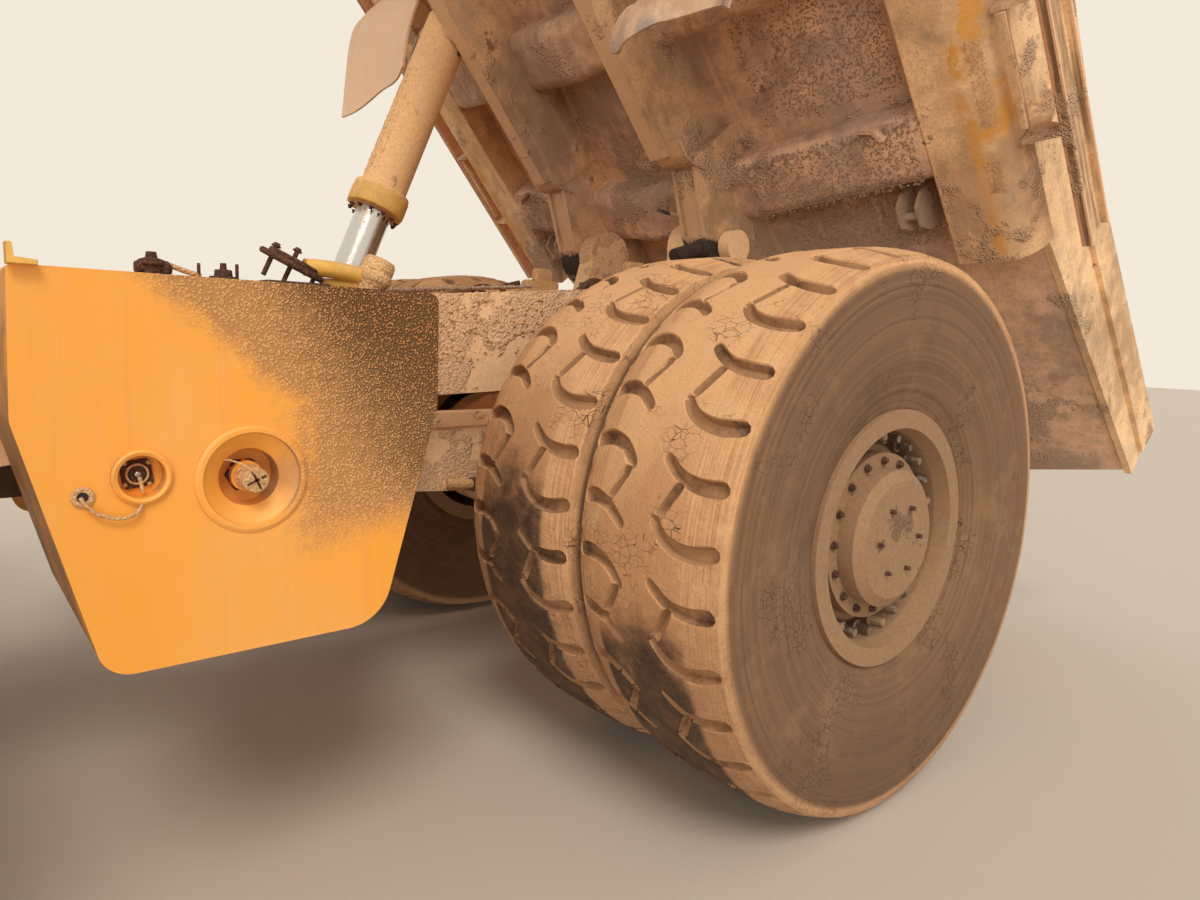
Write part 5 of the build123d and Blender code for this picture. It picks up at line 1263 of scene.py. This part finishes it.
FLAP_BAR = (1.551, 3.869)
FLAP_HALF = 0.007
FLAP_EDGES = [
    # each flap: top, bottom, inner and outer edge, from its bar down
    ([(0.9, *FLAP_BAR), (1.2, *FLAP_BAR), (1.5, *FLAP_BAR)],
     [(0.88, 1.469, 2.978), (0.942, 1.453, 2.965), (1.004, 1.416, 2.97), (1.066, 1.412, 2.987), (1.19, 1.416, 3.003),
      (1.252, 1.449, 3.012), (1.314, 1.496, 3.029), (1.376, 1.541, 3.048), (1.438, 1.536, 3.036), (1.5, 1.497, 3.003)],
     [(0.9, *FLAP_BAR), (0.9, 1.580, 3.55), (0.9, 1.589, 3.219), (0.896, 1.542, 3.183), (0.892, 1.492, 3.122),
      (0.888, 1.47, 3.069), (0.884, 1.461, 3.019), (0.88, 1.469, 2.978)],
     [(1.5, *FLAP_BAR), (1.5, 1.575, 3.5), (1.5, 1.56, 3.2), (1.5, 1.497, 3.003)]),
    ([(-0.9, *FLAP_BAR), (-1.2, *FLAP_BAR), (-1.5, *FLAP_BAR)],
     [(-0.9, 1.395, 3.30), (-1.0, 1.41, 3.26), (-1.1, 1.415, 3.243), (-1.2, 1.405, 3.23), (-1.3, 1.345, 3.155),
      (-1.4, 1.315, 3.12), (-1.5, 1.28, 3.10)],
     [(-0.9, *FLAP_BAR), (-0.9, 1.50, 3.72), (-0.9, 1.43, 3.52), (-0.9, 1.395, 3.30)],
     [(-1.5, *FLAP_BAR), (-1.5, 1.43, 3.74), (-1.5, 1.34, 3.577), (-1.5, 1.28, 3.10)]),
]


class TRUCK_OT_flaps(bpy.types.Operator):
    """The two curled rubber flaps on their bar behind the third bolster."""

    bl_idname = "truck.flaps"
    bl_label = "Rubber flaps"

    def execute(self, context):
        for name, (top, bottom, inner, outer) in zip(("flap_left", "flap_right"), FLAP_EDGES):
            rows = coons(spaced(top, 21), spaced(bottom, 21), spaced(inner, 25), spaced(outer, 25))
            flap = Shape()
            sheets = []
            for side in (FLAP_HALF, -FLAP_HALF):
                sheets.append([[flap.shell.verts.new(p + Vector((0, side, 0))) for p in row] for row in rows])
            front, back = sheets
            faces = []
            high, wide = len(rows), len(rows[0])
            for i in range(high - 1):
                for k in range(wide - 1):
                    faces.append((front[i][k], front[i][k + 1], front[i + 1][k + 1], front[i + 1][k]))
                    faces.append((back[i][k], back[i + 1][k], back[i + 1][k + 1], back[i][k + 1]))
            rim = [(i, 0) for i in range(high)] + [(high - 1, k) for k in range(1, wide)] \
                + [(i, wide - 1) for i in range(high - 2, -1, -1)] + [(0, k) for k in range(wide - 2, 0, -1)]
            for (i, k), (j, m) in zip(rim, rim[1:] + rim[:1]):
                faces.append((front[i][k], front[j][m], back[j][m], back[i][k]))
            flap.paint([flap.shell.faces.new(face) for face in faces], "flap")
            x = sum(p[0] for p in top) / len(top)
            flap.tube("beam", [(x + reach, *FLAP_BAR) for reach in (-0.33, -0.30, 0.30, 0.33)], 0.021, 16)
            for offset in (-0.24, -0.08, 0.08, 0.24):
                flap.bolt("bolt", (x + offset, FLAP_BAR[0] - 0.010, 3.815), (0, -1, 0.05), 0.013)
            made = flap.done(name, "flaps", 40)
            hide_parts("bed_flaps")
        return {"FINISHED"}


def underside(x, lift=0.270):
    """Height of the floor's underside, or of a face parallel to it, in the bed's frame."""
    return lift + 0.2053 * abs(x)


def on_bed(points):
    return [in_bed(*p) for p in points]


class TRUCK_OT_bed_mud(bpy.types.Operator):
    """Dried pebbly mud thrown up by the tyres on the bolsters, the floor and the sills."""

    bl_idname = "truck.bed_mud"
    bl_label = "Mud under the bed"

    def execute(self, context):
        for name, sign, thick in (("left", 1, 1.0), ("right", -1, 0.45)):
            thrown = Shape()

            for number, (lift, x0, x1, first, last, density, cover) in enumerate((
                    (0.080, 0.72, 1.58, -0.335, -0.01, 7000, 0.50), (0.270, 0.80, 1.50, -0.97, -0.42, 6200, 0.44),
                    (0.270, 0.72, 1.60, 0.02, 0.42, 5000, 0.42), (0.080, 0.75, 1.55, -1.32, -1.02, 3000, 0.36))):
                add_pebbles(thrown, "crust", on_bed([(sign * x, along, underside(x, lift)) for x, along in (
                    (x0, first), (x1, first), (x1, last), (x0, last))]), density * thick, 0.0032, 0.0072, 2.8, cover,
                            3 + number)
            for x, first, last, cover in ((1.930, -0.60, -0.22, 0.58), (1.900, -0.07, 0.09, 0.60),
                                          (1.74, -0.9, 0.3, 0.32)):
                near, far = x - 0.035, x + 0.035
                add_pebbles(thrown, "tan", on_bed([(sign * near, first, 0.411), (sign * far, first, 0.420),
                                                   (sign * far, last, 0.420), (sign * near, last, 0.411)]),
                            8000 * thick, 0.0028, 0.0055, 6.0, cover, 17)
            thrown.done("bed_thrown_mud_" + name, "bed", 60)
        return {"FINISHED"}


class TRUCK_OT_bed_trim(bpy.types.Operator):
    """Tack welds, straps and bars left on the bed's underside."""

    bl_idname = "truck.bed_trim"
    bl_label = "Bed straps and bars"

    def execute(self, context):
        trim = Shape()
        for sign in (1, -1):
            # flat bar that ties the gussets, with a stub beyond it
            for low, high in (((2.020, -0.660, 0.452), (2.060, -0.285, 0.464)),
                              ((2.030, -0.285, 0.450), (2.052, -0.170, 0.474))):
                shape = [(low[0], low[1]), (high[0], low[1]), (high[0], high[1]), (low[0], high[1])]
                trim.prism("sill", [(sign * a, b) for a, b in shape], BED_PLACE @ Matrix.Translation((0, 0, low[2])),
                           high[2] - low[2], 0.002)
            # tack bracket on the first bolster
            trim.prism("bed", [(sign * a, b) for a, b in (
                (1.36, -0.350), (1.44, -0.335), (1.475, -0.275), (1.455, -0.270), (1.425, -0.318), (1.355, -0.332))],
                       BED_PLACE @ Matrix.Translation((0, 0, 0.345)), 0.045, 0.002)
            # rusty lip under the beam's notch
            points = arc_path(on_bed([(sign * 0.55, along, up) for along, up in (
                (-0.640, -0.004), (-0.560, -0.010), (-0.500, 0.012), (-0.425, 0.076))]), 5)
            across = SIDEWAYS * 0.105
            loops = []
            for i, p in enumerate(points):
                ahead = (points[min(i + 1, len(points) - 1)] - points[max(i - 1, 0)]).normalized()
                thick = ahead.cross(SIDEWAYS).normalized() * (0.004 if sign < 0 else 0.007)
                loops.append([p + across + thick, p - across + thick, p - across - thick, p + across - thick])
            trim.rings(loops, "beam")
        # strap, clamp and rusty scale at the top of the far beam
        trim.prism("beam", [(-0.640, -1.75), (-0.618, -1.75), (-0.618, -1.43), (-0.640, -1.43)],
                   BED_PLACE @ Matrix.Translation((0, 0, -0.030)), 0.018, 0.003)
        trim.prism("tan", [(-0.652, -1.46), (-0.575, -1.46), (-0.575, -1.385), (-0.600, -1.352), (-0.652, -1.352)],
                   BED_PLACE @ Matrix.Translation((0, 0, -0.040)), 0.032, 0.004)
        trim.tube("rust", on_bed([(-0.664, -1.42, 0.05), (-0.664, -1.41, -0.03), (-0.650, -1.40, -0.047),
                                  (-0.630, -1.40, -0.047)]), 0.009, 10)
        trim.bolt("rust", in_bed(-0.612, -1.405, -0.041), in_bed(0, 0, -1) - in_bed(0, 0, 0), 0.014)
        # bolt and clamp left hanging on the near gusset
        trim.tube("beam", on_bed([(0.440, -0.352, -0.150), (0.475, -0.318, -0.135), (0.475, -0.262, -0.075)]), 0.010,
                  10)
        # weld seams across the floor
        for (x0, first), (x1, last) in [[(-0.099, -0.948), (-0.062, -0.357)], [(-0.616, -0.766), (-0.467, -0.392)]]:
            run = []
            for t in range(13):
                x, along = x0 + (x1 - x0) * t / 12, first + (last - first) * t / 12
                run.append(in_bed(x, along + 0.004 * math.sin(t * 2.3), underside(x, 0.269)))
            trim.tube("bed", run, 0.0055, 8)
        trim.done("bed_straps", "bed", 30)
        return {"FINISHED"}


# Hoist and hubs

BARREL_TOP = Vector((-0.722, 1.568, 3.470))
BARREL_WAY = Vector((0, -0.387, -0.922)).normalized()


class TRUCK_OT_hoist(bpy.types.Operator):
    """Bolts of the yellow gland collar and the thin hose that loops down the barrel."""

    bl_idname = "truck.hoist"
    bl_label = "Hoist fittings"

    def execute(self, context):
        gland = Shape()
        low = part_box("hoist_barrel")[0][2]
        reach = (BARREL_TOP.z - low) / -BARREL_WAY.z
        collar = BARREL_TOP + BARREL_WAY * (reach - 0.045)
        add_bolts(gland, "rust", collar + BARREL_WAY * 0.003, BARREL_WAY, 12, 0.128, 0.011, 0.016)
        wide = 0.1580
        gland.ring("yellow", collar - BARREL_WAY * 0.128, BARREL_WAY,
                   [(0, wide - 0.012), (0.006, wide - 0.004), (0.014, wide), (0.104, wide), (0.112, wide - 0.004),
                    (0.116, wide - 0.014), (0.116, wide - 0.03), (0, wide - 0.03)], 12)
        path = [(-0.76, 1.610, 3.500), (-0.80, 1.612, 3.538), (-0.84, 1.590, 3.545), (-0.865, 1.540, 3.526),
                (-0.875, 1.478, 3.470), (-0.875, 1.440, 3.394), (-0.870, 1.405, 3.279), (-0.862, 1.357, 3.149),
                (-0.845, 1.300, 3.02), (-0.820, 1.262, 2.93)]
        gland.tube("bolt", arc_path(path, 8), 0.0085, 8)
        outward = Vector((-0.70, -0.66, 0.277)).normalized()
        across = BARREL_WAY.cross(outward)
        for number in range(-3, 4):
            left, right = ((outward * math.cos(way) + across * math.sin(way)) * 0.1245
                           for way in (number * 0.40 - 0.2, number * 0.40 + 0.2))
            for first, last, cover in ((0.30, 0.62, 0.42), (0.62, 0.95, 0.54)):
                near, far = BARREL_TOP + BARREL_WAY * first, BARREL_TOP + BARREL_WAY * last
                add_pebbles(gland, "tan", [near + left, near + right, far + right, far + left], 6500, 0.0028, 0.0060,
                            7.0, cover, 31 + number)
        gland.done("hoist_gland_bolts", "hoist_barrel_body", 30)
        return {"FINISHED"}


WHEEL_HUBS = [
    # body, node of the rim, side
    ("wheel_rear_left", "rear_rim_left", 1), ("wheel_rear_right", "rear_rim_right", -1),
    ("wheel_front_left", "front_rim_left", 1), ("wheel_front_right", "front_rim_right", -1),
]


class TRUCK_OT_hubs(bpy.types.Operator):
    """Wheel nuts on the discs, cover bolts on the final drives and the valve stems."""

    bl_idname = "truck.hubs"
    bl_label = "Wheel hubs"

    def execute(self, context):
        for body, node, sign in WHEEL_HUBS:
            rear = "rear" in node
            low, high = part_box(node)
            middle_y = (low[1] + high[1]) / 2
            out = Vector((sign, 0, 0))
            face = max(abs(low[0]), abs(high[0]))
            hub_r = 0.320 if rear else 0.250
            disc = (REAR_OUTER_X + 0.290 - 0.166) if rear else FRONT_WHEEL_X + 0.038
            nuts = Shape()
            for finish, reach, count, radius, head, height in (
                    ("bolt", disc + 0.018, 24 if rear else 20, hub_r + 0.060, 0.019, 0.060),
                    ("rust", face - 0.086, 16, hub_r * 0.905, 0.012, 0.016),
                    ("rust", face - 0.010, 6, hub_r * 0.42, 0.010, 0.030)):
                add_bolts(nuts, finish, Vector((sign * reach, middle_y, AXLE_Z)), out, count, radius, head, height)
            valve = Vector((sign * (disc + 0.05), middle_y, AXLE_Z + hub_r + 0.115))
            nuts.tube("bolt", [valve, valve + Vector((sign * 0.05, 0, 0.006)),
                               valve + Vector((sign * 0.085, 0, -0.004))], 0.006, 8)
            nuts.done("hub_nuts_" + body[6:], body, 30)
        return {"FINISHED"}


# Frame


class TRUCK_OT_frame_trim(bpy.types.Operator):
    """Castings and fittings on the rails, pipes, tail lamps and cracked mud on the rail's side."""

    bl_idname = "truck.frame_trim"
    bl_label = "Frame fittings"

    def execute(self, context):
        fittings = Shape()
        for sign in (1, -1):
            def at(x, y, z):
                return Vector((sign * x, y, z))

            for low, high in (((0.372, 1.93, 2.026), (0.448, 2.17, 2.120)),
                              ((0.382, 2.00, 2.112), (0.440, 2.13, 2.190))):
                fittings.brick("tan", at(*low), at(*high), 0.014)
            for y in (1.98, 2.12):
                fittings.bolt("rust", at(0.448, y, 2.075), at(1, 0, 0), 0.014)
            # crumpled pipe ends and clips on the rail's top edge
            fittings.tube("rust", arc_path([at(0.53, 1.60, 2.006), at(0.525, 1.66, 2.050), at(0.51, 1.72, 2.066),
                                            at(0.50, 1.80, 2.060), at(0.47, 1.88, 2.085), at(0.45, 1.93, 2.100)]),
                          0.016, 10)
            fittings.tube("tan", arc_path([at(0.49, 1.63, 2.010), at(0.485, 1.70, 2.036), at(0.48, 1.80, 2.040),
                                           at(0.46, 1.92, 2.056)]), 0.012, 10)
            for y in (1.68, 1.82):
                fittings.brick("rust", at(0.455, y - 0.018, 2.010), at(0.545, y + 0.018, 2.048 + (y - 1.6) * 0.12),
                               0.006)
            # brake pipe clipped along the suspension arm
            fittings.tube("tan", arc_path([at(0.425, 0.96, 1.112), at(0.442, 1.05, 1.104), at(0.443, 1.35, 1.066),
                                           at(0.442, 1.60, 1.024), at(0.425, 1.66, 1.016)]), 0.022, 12)
            for y, z in ((1.10, 1.098), (1.50, 1.040)):
                fittings.brick("rust", at(0.415, y - 0.020, z - 0.028), at(0.472, y + 0.020, z + 0.028), 0.004)
            # rigid pipes under clips along the front rail
            for level in (1.190, 1.221):
                fittings.tube("dark", [at(0.552, -4.43, level), at(0.5715, -4.40, level), at(0.5715, -1.80, level),
                                       at(0.552, -1.77, level)], 0.0115, 10)
            for k in range(6):
                fittings.brick("bolt", at(0.555, -4.25 + k * 0.45, 1.176), at(0.588, -4.215 + k * 0.45, 1.235), 0.004)
            # tail lamp on the rail's end
            fittings.brick("dark", at(0.338, 2.692, 1.84), at(0.452, 2.735, 1.99), 0.01)
            fittings.lathe("red", at(0.395, 2.730, 1.945), BACKWARD,
                           [(0, 0.032), (0.012, 0.032), (0.018, 0.024), (0.020, 0.008)], 24)
            fittings.lathe("amber", at(0.395, 2.730, 1.880), BACKWARD,
                           [(0, 0.026), (0.010, 0.026), (0.015, 0.019), (0.017, 0.006)], 24)
            # bolted joints of the cross members
            for y, z in ((-3.70, 1.36), (-3.60, 1.36), (-1.30, 1.52), (-1.20, 1.53)):
                fittings.bolt("rust", at(0.560, y, z), at(1, 0, 0), 0.019)
        fittings.done("frame_fittings", "chassis", 30)
        mud = Shape()
        rail_side, slope = 0.5605, 0.0875
        for sign in (1, -1):
            for corners, cover in ((((0.34, 1.60), (1.45, 1.72), (1.45, 1.97), (0.34, 1.88)), 0.40),
                                   (((-1.55, 1.30), (-0.75, 1.42), (-0.75, 1.70), (-1.55, 1.56)), 0.42)):
                add_pebbles(mud, "tan", [(sign * rail_side, y, z) for y, z in corners], 1500, 0.004, 0.011, 4.0,
                            cover, 41)
            for y in (0.6, 1.1):
                low, high = 1.932 + (y - 0.65) * slope, 1.976 + (y - 0.65) * slope
                add_pebbles(mud, "crust", [(sign * 0.34, y - 0.25, low), (sign * 0.55, y - 0.25, low),
                                           (sign * 0.55, y + 0.25, high), (sign * 0.34, y + 0.25, high)],
                            2600, 0.005, 0.012, 5.0, 0.5, 43)
        add_pebbles(mud, "tan", [(TANK_X + 0.0005, y, z) for y, z in ((0.00, 1.28), (0.20, 1.28), (0.255, 1.46),
                                                                      (0.00, 1.42))],
                    5200, 0.0022, 0.0048, 6.0, 0.40, 47)
        mud.done("frame_mud", "chassis", 60)
        return {"FINISHED"}


# Cab, decks and front


class TRUCK_OT_cab(bpy.types.Operator):
    """Window rubbers, wiper, grab bars, roof lamps and air conditioner."""

    bl_idname = "truck.cab"
    bl_label = "Cab fittings"

    def execute(self, context):
        cab = Shape()
        for axis, level, low, high in (
                (1, -4.124, (0.73, 3.00), (1.93, 3.88)), (1, -2.420, (0.75, 3.15), (1.91, 3.85)),
                (0, 0.638, (-3.982, 3.15), (-2.562, 3.85)), (0, 2.022, (-4.022, 3.15), (-3.892, 3.85))):
            cab.hoop("dark", axis, level, low, high, 0.07 if high[0] - low[0] > 0.3 else 0.012, 0.013)
        # wiper
        cab.lathe("dark", (1.30, -4.120, 2.955), FORWARD,
                  [(0, 0.030), (0.022, 0.030), (0.030, 0.018), (0.040, 0.016)], 20)
        cab.tube("dark", [(1.30, -4.150, 2.955), (1.22, -4.140, 3.20), (1.13, -4.128, 3.50)], 0.008, 8)
        cab.tube("dark", [(1.20, -4.112, 3.22), (1.12, -4.110, 3.50), (1.04, -4.112, 3.78)], 0.009, 8)
        # grab bars
        for path in ([(2.00, -2.52, 2.62), (2.065, -2.52, 2.66), (2.065, -2.52, 3.60), (2.00, -2.52, 3.64)],
                     [(2.00, -3.985, 2.50), (2.06, -3.985, 2.54), (2.06, -3.985, 3.06), (2.00, -3.985, 3.10)],
                     [(0.80, -4.115, 2.84), (0.80, -4.165, 2.86), (1.10, -4.165, 2.86), (1.10, -4.115, 2.84)],
                     [(1.50, -4.115, 2.84), (1.50, -4.165, 2.86), (1.90, -4.165, 2.86), (1.90, -4.115, 2.84)]):
            cab.tube("tan", path, 0.014, 12)
        # roof lamps, beacon and air conditioner
        for x in (0.80, 1.05, 1.64, 1.89):
            cab.brick("dark", (x - 0.080, -4.20, 4.106), (x + 0.080, -4.11, 4.172), 0.014)
            cab.brick("lamp", (x - 0.070, -4.206, 4.114), (x + 0.070, -4.196, 4.165), 0.004)
        cab.brick("panel", (0.98, -3.10, 4.104), (1.66, -2.52, 4.165), 0.018)
        for k in range(3):
            cab.brick("dark", (1.04, -3.106, 4.124 + k * 0.013), (1.60, -3.092, 4.130 + k * 0.013), 0.002)
        # fasteners along the roof's edge
        for k in range(7):
            for x in (0.66, 2.03):
                cab.bolt("bolt", (x, -4.05 + k * 0.25, 4.095), (0.3 if x > 1 else -0.3, 0, 1), 0.010)
        cab.done("cab_fittings", "chassis", 30)
        door = Shape()
        door.hoop("dark", 0, 2.034, (-3.732, 2.95), (-2.862, 3.85), 0.07, 0.013)
        door.lathe("dark", (2.030, -2.90, 2.79), SIDEWAYS, [(0, 0.026), (0.006, 0.026), (0.010, 0.018)], 20)
        door.brick("dark", (2.030, -3.72, 2.50), (2.036, -2.84, 2.54), 0.002)
        door.brick("dark", (2.030, -3.72, 2.86), (2.036, -2.84, 2.88), 0.002)
        door.done("door_fittings", "door", 30)
        return {"FINISHED"}


class TRUCK_OT_front(bpy.types.Operator):
    """Radiator mesh, lamps with guards, louvres, exhaust stack, batteries and anti-slip strips."""

    bl_idname = "truck.front"
    bl_label = "Front and decks"

    def execute(self, context):
        front = Shape()
        for k in range(23):
            x = -0.50 + k * 1.0 / 22
            front.tube("dark", [(x, -4.757, 1.58), (x, -4.757, 2.59)], 0.0045, 6)
        for k in range(21):
            z = 1.58 + k * 1.01 / 20
            front.tube("dark", [(-0.515, -4.762, z), (0.515, -4.762, z)], 0.0045, 6)
        front.hoop("tan", 1, -4.757, (-0.53, 1.56), (0.53, 2.61), 0.03, 0.016)
        for sign in (1, -1):
            for x in (1.325, 1.495):
                front.ring("dark", (sign * x, -5.030, 1.12), FORWARD,
                           [(0, 0.071), (0.022, 0.071), (0.024, 0.062), (0, 0.060)], 32)
                front.lathe("lamp", (sign * x, -5.034, 1.12), FORWARD,
                            [(0, 0.060), (0.010, 0.058), (0.016, 0.040), (0.018, 0.010)], 32)
            for z in (1.055, 1.12, 1.185):
                front.tube("tan", [(sign * 1.215, -5.036, z), (sign * 1.225, -5.072, z), (sign * 1.595, -5.072, z),
                                   (sign * 1.605, -5.036, z)], 0.008, 8)
            for x in (1.28, 1.41, 1.54):
                front.tube("tan", [(sign * x, -5.072, 1.045), (sign * x, -5.072, 1.195)], 0.007, 8)
            front.brick("dark", (sign * 1.632, -5.062, 1.07), (sign * 1.722, -5.036, 1.17), 0.006)
            front.brick("amber", (sign * 1.640, -5.068, 1.08), (sign * 1.714, -5.058, 1.16), 0.003)
            for k in range(6):
                front.bolt("rust", (sign * (0.22 + k * 0.17), -5.042, 0.86), FORWARD, 0.017)
            # anti-slip strips on the decks
            for k in range(7):
                y = -4.36 + k * 0.075 if k < 3 else -2.32 + (k - 3) * 0.13
                front.brick("dark", (sign * 0.66, y, 2.397), (sign * 1.98, y + 0.035, 2.4045), 0.002)
        # louvres of the hood
        for sign in (1, -1):
            for k in range(9):
                y = -4.20 + k * 0.085
                front.prism("panel", [(0, 0), (0.070, 0), (0.070, 0.004), (0.006, 0.024), (0, 0.020)],
                            Matrix.Translation((sign * 0.28 - 0.15, y, 2.729)) @ ACROSS, 0.30, 0.002)
            for y in (-4.45, -3.30, -2.62):
                front.brick("dark", (sign * 0.40 - 0.05, y, 2.728), (sign * 0.40 + 0.05, y + 0.05, 2.748), 0.006)
        for y in (-4.30, -2.80):
            front.tube("tan", [(-0.08, y, 2.728), (-0.08, y, 2.768), (0.08, y, 2.768), (0.08, y, 2.728)], 0.010, 10)
        # exhaust stack on the right deck
        stack = (-0.70, -2.90)
        front.lathe("rust", (*stack, DECK_TOP), UP,
                    [(0, 0.13), (0.016, 0.13), (0.020, 0.080), (0.10, 0.080), (0.11, 0.115), (0.78, 0.115),
                     (0.80, 0.070), (0.98, 0.070), (0.985, 0.062)], 32)
        front.lathe("dark", (*stack, 3.372), UP, [(0, 0.058), (0.012, 0.058), (0.014, 0.02)], 24)
        add_bolts(front, "bolt", Vector((*stack, 2.414)), UP, 8, 0.108, 0.011, 0.012)
        for z in (2.60, 2.85, 3.10):
            front.ring("bolt", (*stack, z), UP, [(0, 0.114), (0, 0.1195), (0.022, 0.1195), (0.022, 0.114)], 32)
        # beacon on its post and the mirrors' glass
        post = (-1.62, -4.36)
        front.tube("tan", [(*post, DECK_TOP), (*post, 2.95)], 0.020, 16)
        for finish, foot, steps, profile in (
                ("tan", 2.396, 24, [(0, 0.055), (0.010, 0.055), (0.012, 0.028)]),
                ("dark", 2.94, 28, [(0, 0.075), (0.018, 0.075), (0.024, 0.066)]),
                ("amber", 2.962, 28, [(0, 0.062), (0.070, 0.060), (0.095, 0.048), (0.106, 0.020)])):
            front.lathe(finish, (*post, foot), UP, profile, steps)
        for sign in (1, -1):
            front.brick("chrome", (sign * 2.262, -4.566, 3.176), (sign * 2.478, -4.557, 3.504), 0.003)
        # battery box and extinguisher
        front.brick("panel", (-1.92, -3.10, DECK_TOP), (-1.22, -2.66, 2.74), 0.02)
        front.brick("panel", (-1.94, -3.12, 2.735), (-1.20, -2.64, 2.775), 0.012)
        for x in (-1.75, -1.39):
            front.tube("bolt", [(x - 0.06, -3.125, 2.70), (x - 0.06, -3.15, 2.69), (x + 0.06, -3.15, 2.69),
                                (x + 0.06, -3.125, 2.70)], 0.008, 8)
            front.brick("dark", (x - 0.03, -2.655, 2.68), (x + 0.03, -2.628, 2.76), 0.004)
        front.brick("dark", (-2.00, -3.46, DECK_TOP), (-1.78, -3.30, 2.43), 0.006)
        front.lathe("red", (-1.89, -3.38, 2.428), UP,
                    [(0, 0.070), (0.006, 0.078), (0.40, 0.078), (0.45, 0.055), (0.47, 0.026), (0.53, 0.026)], 28)
        front.tube("dark", arc_path([(-1.89, -3.38, 2.94), (-1.85, -3.43, 2.90), (-1.82, -3.45, 2.75),
                                     (-1.82, -3.44, 2.60)]), 0.012, 8)
        front.done("front_fittings", "chassis", 30)
        return {"FINISHED"}


# Floor, light and camera


def floor_material(settings):
    f = Finish("pale_concrete")
    shade = f.mix(f.noise(0.8, 6, 0.6), [c * 0.96 for c in settings.floor], list(settings.floor))
    return f.close(shade, 0.9, f.bump(f.noise(40, 4, 0.6), 0.001))


def sunlight(scene, name, strength, spread, colour, way):
    """Broad soft light that shines along a direction."""
    sun = bpy.data.lights.new(name, "SUN")
    sun.energy = strength
    sun.angle = math.radians(spread)
    sun.color = colour
    lamp = bpy.data.objects.new(name, sun)
    lamp.rotation_mode = "QUATERNION"
    lamp.rotation_quaternion = Vector(way).to_track_quat("-Z", "Y")
    scene.collection.objects.link(lamp)


def even_sky(settings):
    """World that lights the truck evenly and shows the backdrop's colour to the camera and in reflections."""
    world = bpy.data.worlds.new("even_sky")
    world.use_nodes = True
    tree = world.node_tree
    tree.nodes.clear()
    ray = tree.nodes.new("ShaderNodeLightPath")
    seen = ray.outputs["Is Camera Ray"]
    for kind in ("Is Glossy Ray", "Is Transmission Ray"):
        either = tree.nodes.new("ShaderNodeMath")
        either.operation = "MAXIMUM"
        tree.links.new(seen, either.inputs[0])
        tree.links.new(ray.outputs[kind], either.inputs[1])
        seen = either.outputs[0]
    both = tree.nodes.new("ShaderNodeMixShader")
    tree.links.new(seen, both.inputs[0])
    for socket, colour, strength in ((1, (1.0, 0.955, 0.90), settings.sky_strength), (2, settings.backdrop, 1.0)):
        light = tree.nodes.new("ShaderNodeBackground")
        light.inputs[0].default_value = (*colour, 1)
        light.inputs[1].default_value = strength
        tree.links.new(light.outputs[0], both.inputs[socket])
    end = tree.nodes.new("ShaderNodeOutputWorld")
    tree.links.new(both.outputs[0], end.inputs[0])
    return world


class TRUCK_OT_stage(bpy.types.Operator):
    """Makes the floor, the light and the camera at the photograph's viewing angle."""

    bl_idname = "truck.stage"
    bl_label = "Stage"

    def execute(self, context):
        scene = context.scene
        settings = scene.truck_stage
        mesh = bpy.data.meshes.new("floor")
        size = 60.0
        mesh.from_pydata([(x, y, 0) for x, y in rectangle(size, size)], [], [(0, 1, 2, 3)])
        mesh.materials.append(floor_material(settings))
        floor = bpy.data.objects.new("floor", mesh)
        scene.collection.objects.link(floor)
        sunlight(scene, "soft_sun", settings.sun_strength, 25, (1.0, 0.95, 0.88), (-0.62, 0.35, -0.80))
        sunlight(scene, "door_light", settings.fill_strength, 60, (1.0, 0.96, 0.92), (-0.53, 0.80, 0.05))
        scene.world = even_sky(settings)
        scene.view_settings.view_transform = "Standard"
        data = bpy.data.cameras.new("photo_camera")
        data.lens = settings.lens
        data.sensor_width = 36
        data.clip_start = 0.05
        data.clip_end = 200
        camera = bpy.data.objects.new("photo_camera", data)
        turn = Matrix((CAMERA_RIGHT, CAMERA_UP, -CAMERA_AHEAD)).transposed()
        camera.matrix_world = Matrix.Translation(CAMERA_PLACE) @ turn.to_4x4()
        scene.collection.objects.link(camera)
        scene.camera = camera
        return {"FINISHED"}


class TRUCK_PT_panel(bpy.types.Panel):
    bl_label = "Dump Truck"
    bl_idname = "TRUCK_PT_panel"
    bl_space_type = "VIEW_3D"
    bl_region_type = "UI"
    bl_category = "Dump Truck"

    def draw(self, context):
        layout = self.layout
        for group in GROUPS:
            box = layout.box()
            for key in group.__annotations__:
                box.prop(getattr(context.scene, GROUPS[group]), key)
        for operator in OPERATORS:
            layout.operator(operator.bl_idname)


GROUPS = {TruckColours: "truck_colours", StageSettings: "truck_stage"}
OPERATORS = [TRUCK_OT_stage, TRUCK_OT_finishes, TRUCK_OT_tyres, TRUCK_OT_tank, TRUCK_OT_flaps, TRUCK_OT_bed_mud,
             TRUCK_OT_bed_trim, TRUCK_OT_hoist, TRUCK_OT_hubs, TRUCK_OT_frame_trim, TRUCK_OT_cab, TRUCK_OT_front]


def register():
    for made in [*GROUPS, *OPERATORS, TRUCK_PT_panel]:
        bpy.utils.register_class(made)
    for group, key in GROUPS.items():
        setattr(bpy.types.Scene, key, bpy.props.PointerProperty(type=group))


def unregister():
    for key in GROUPS.values():
        delattr(bpy.types.Scene, key)
    for made in reversed([*GROUPS, *OPERATORS, TRUCK_PT_panel]):
        bpy.utils.unregister_class(made)


def main():
    register()
    for operator in OPERATORS:
        group, name = operator.bl_idname.split(".")
        getattr(getattr(bpy.ops, group), name)()


if __name__ == "__main__":
    main()
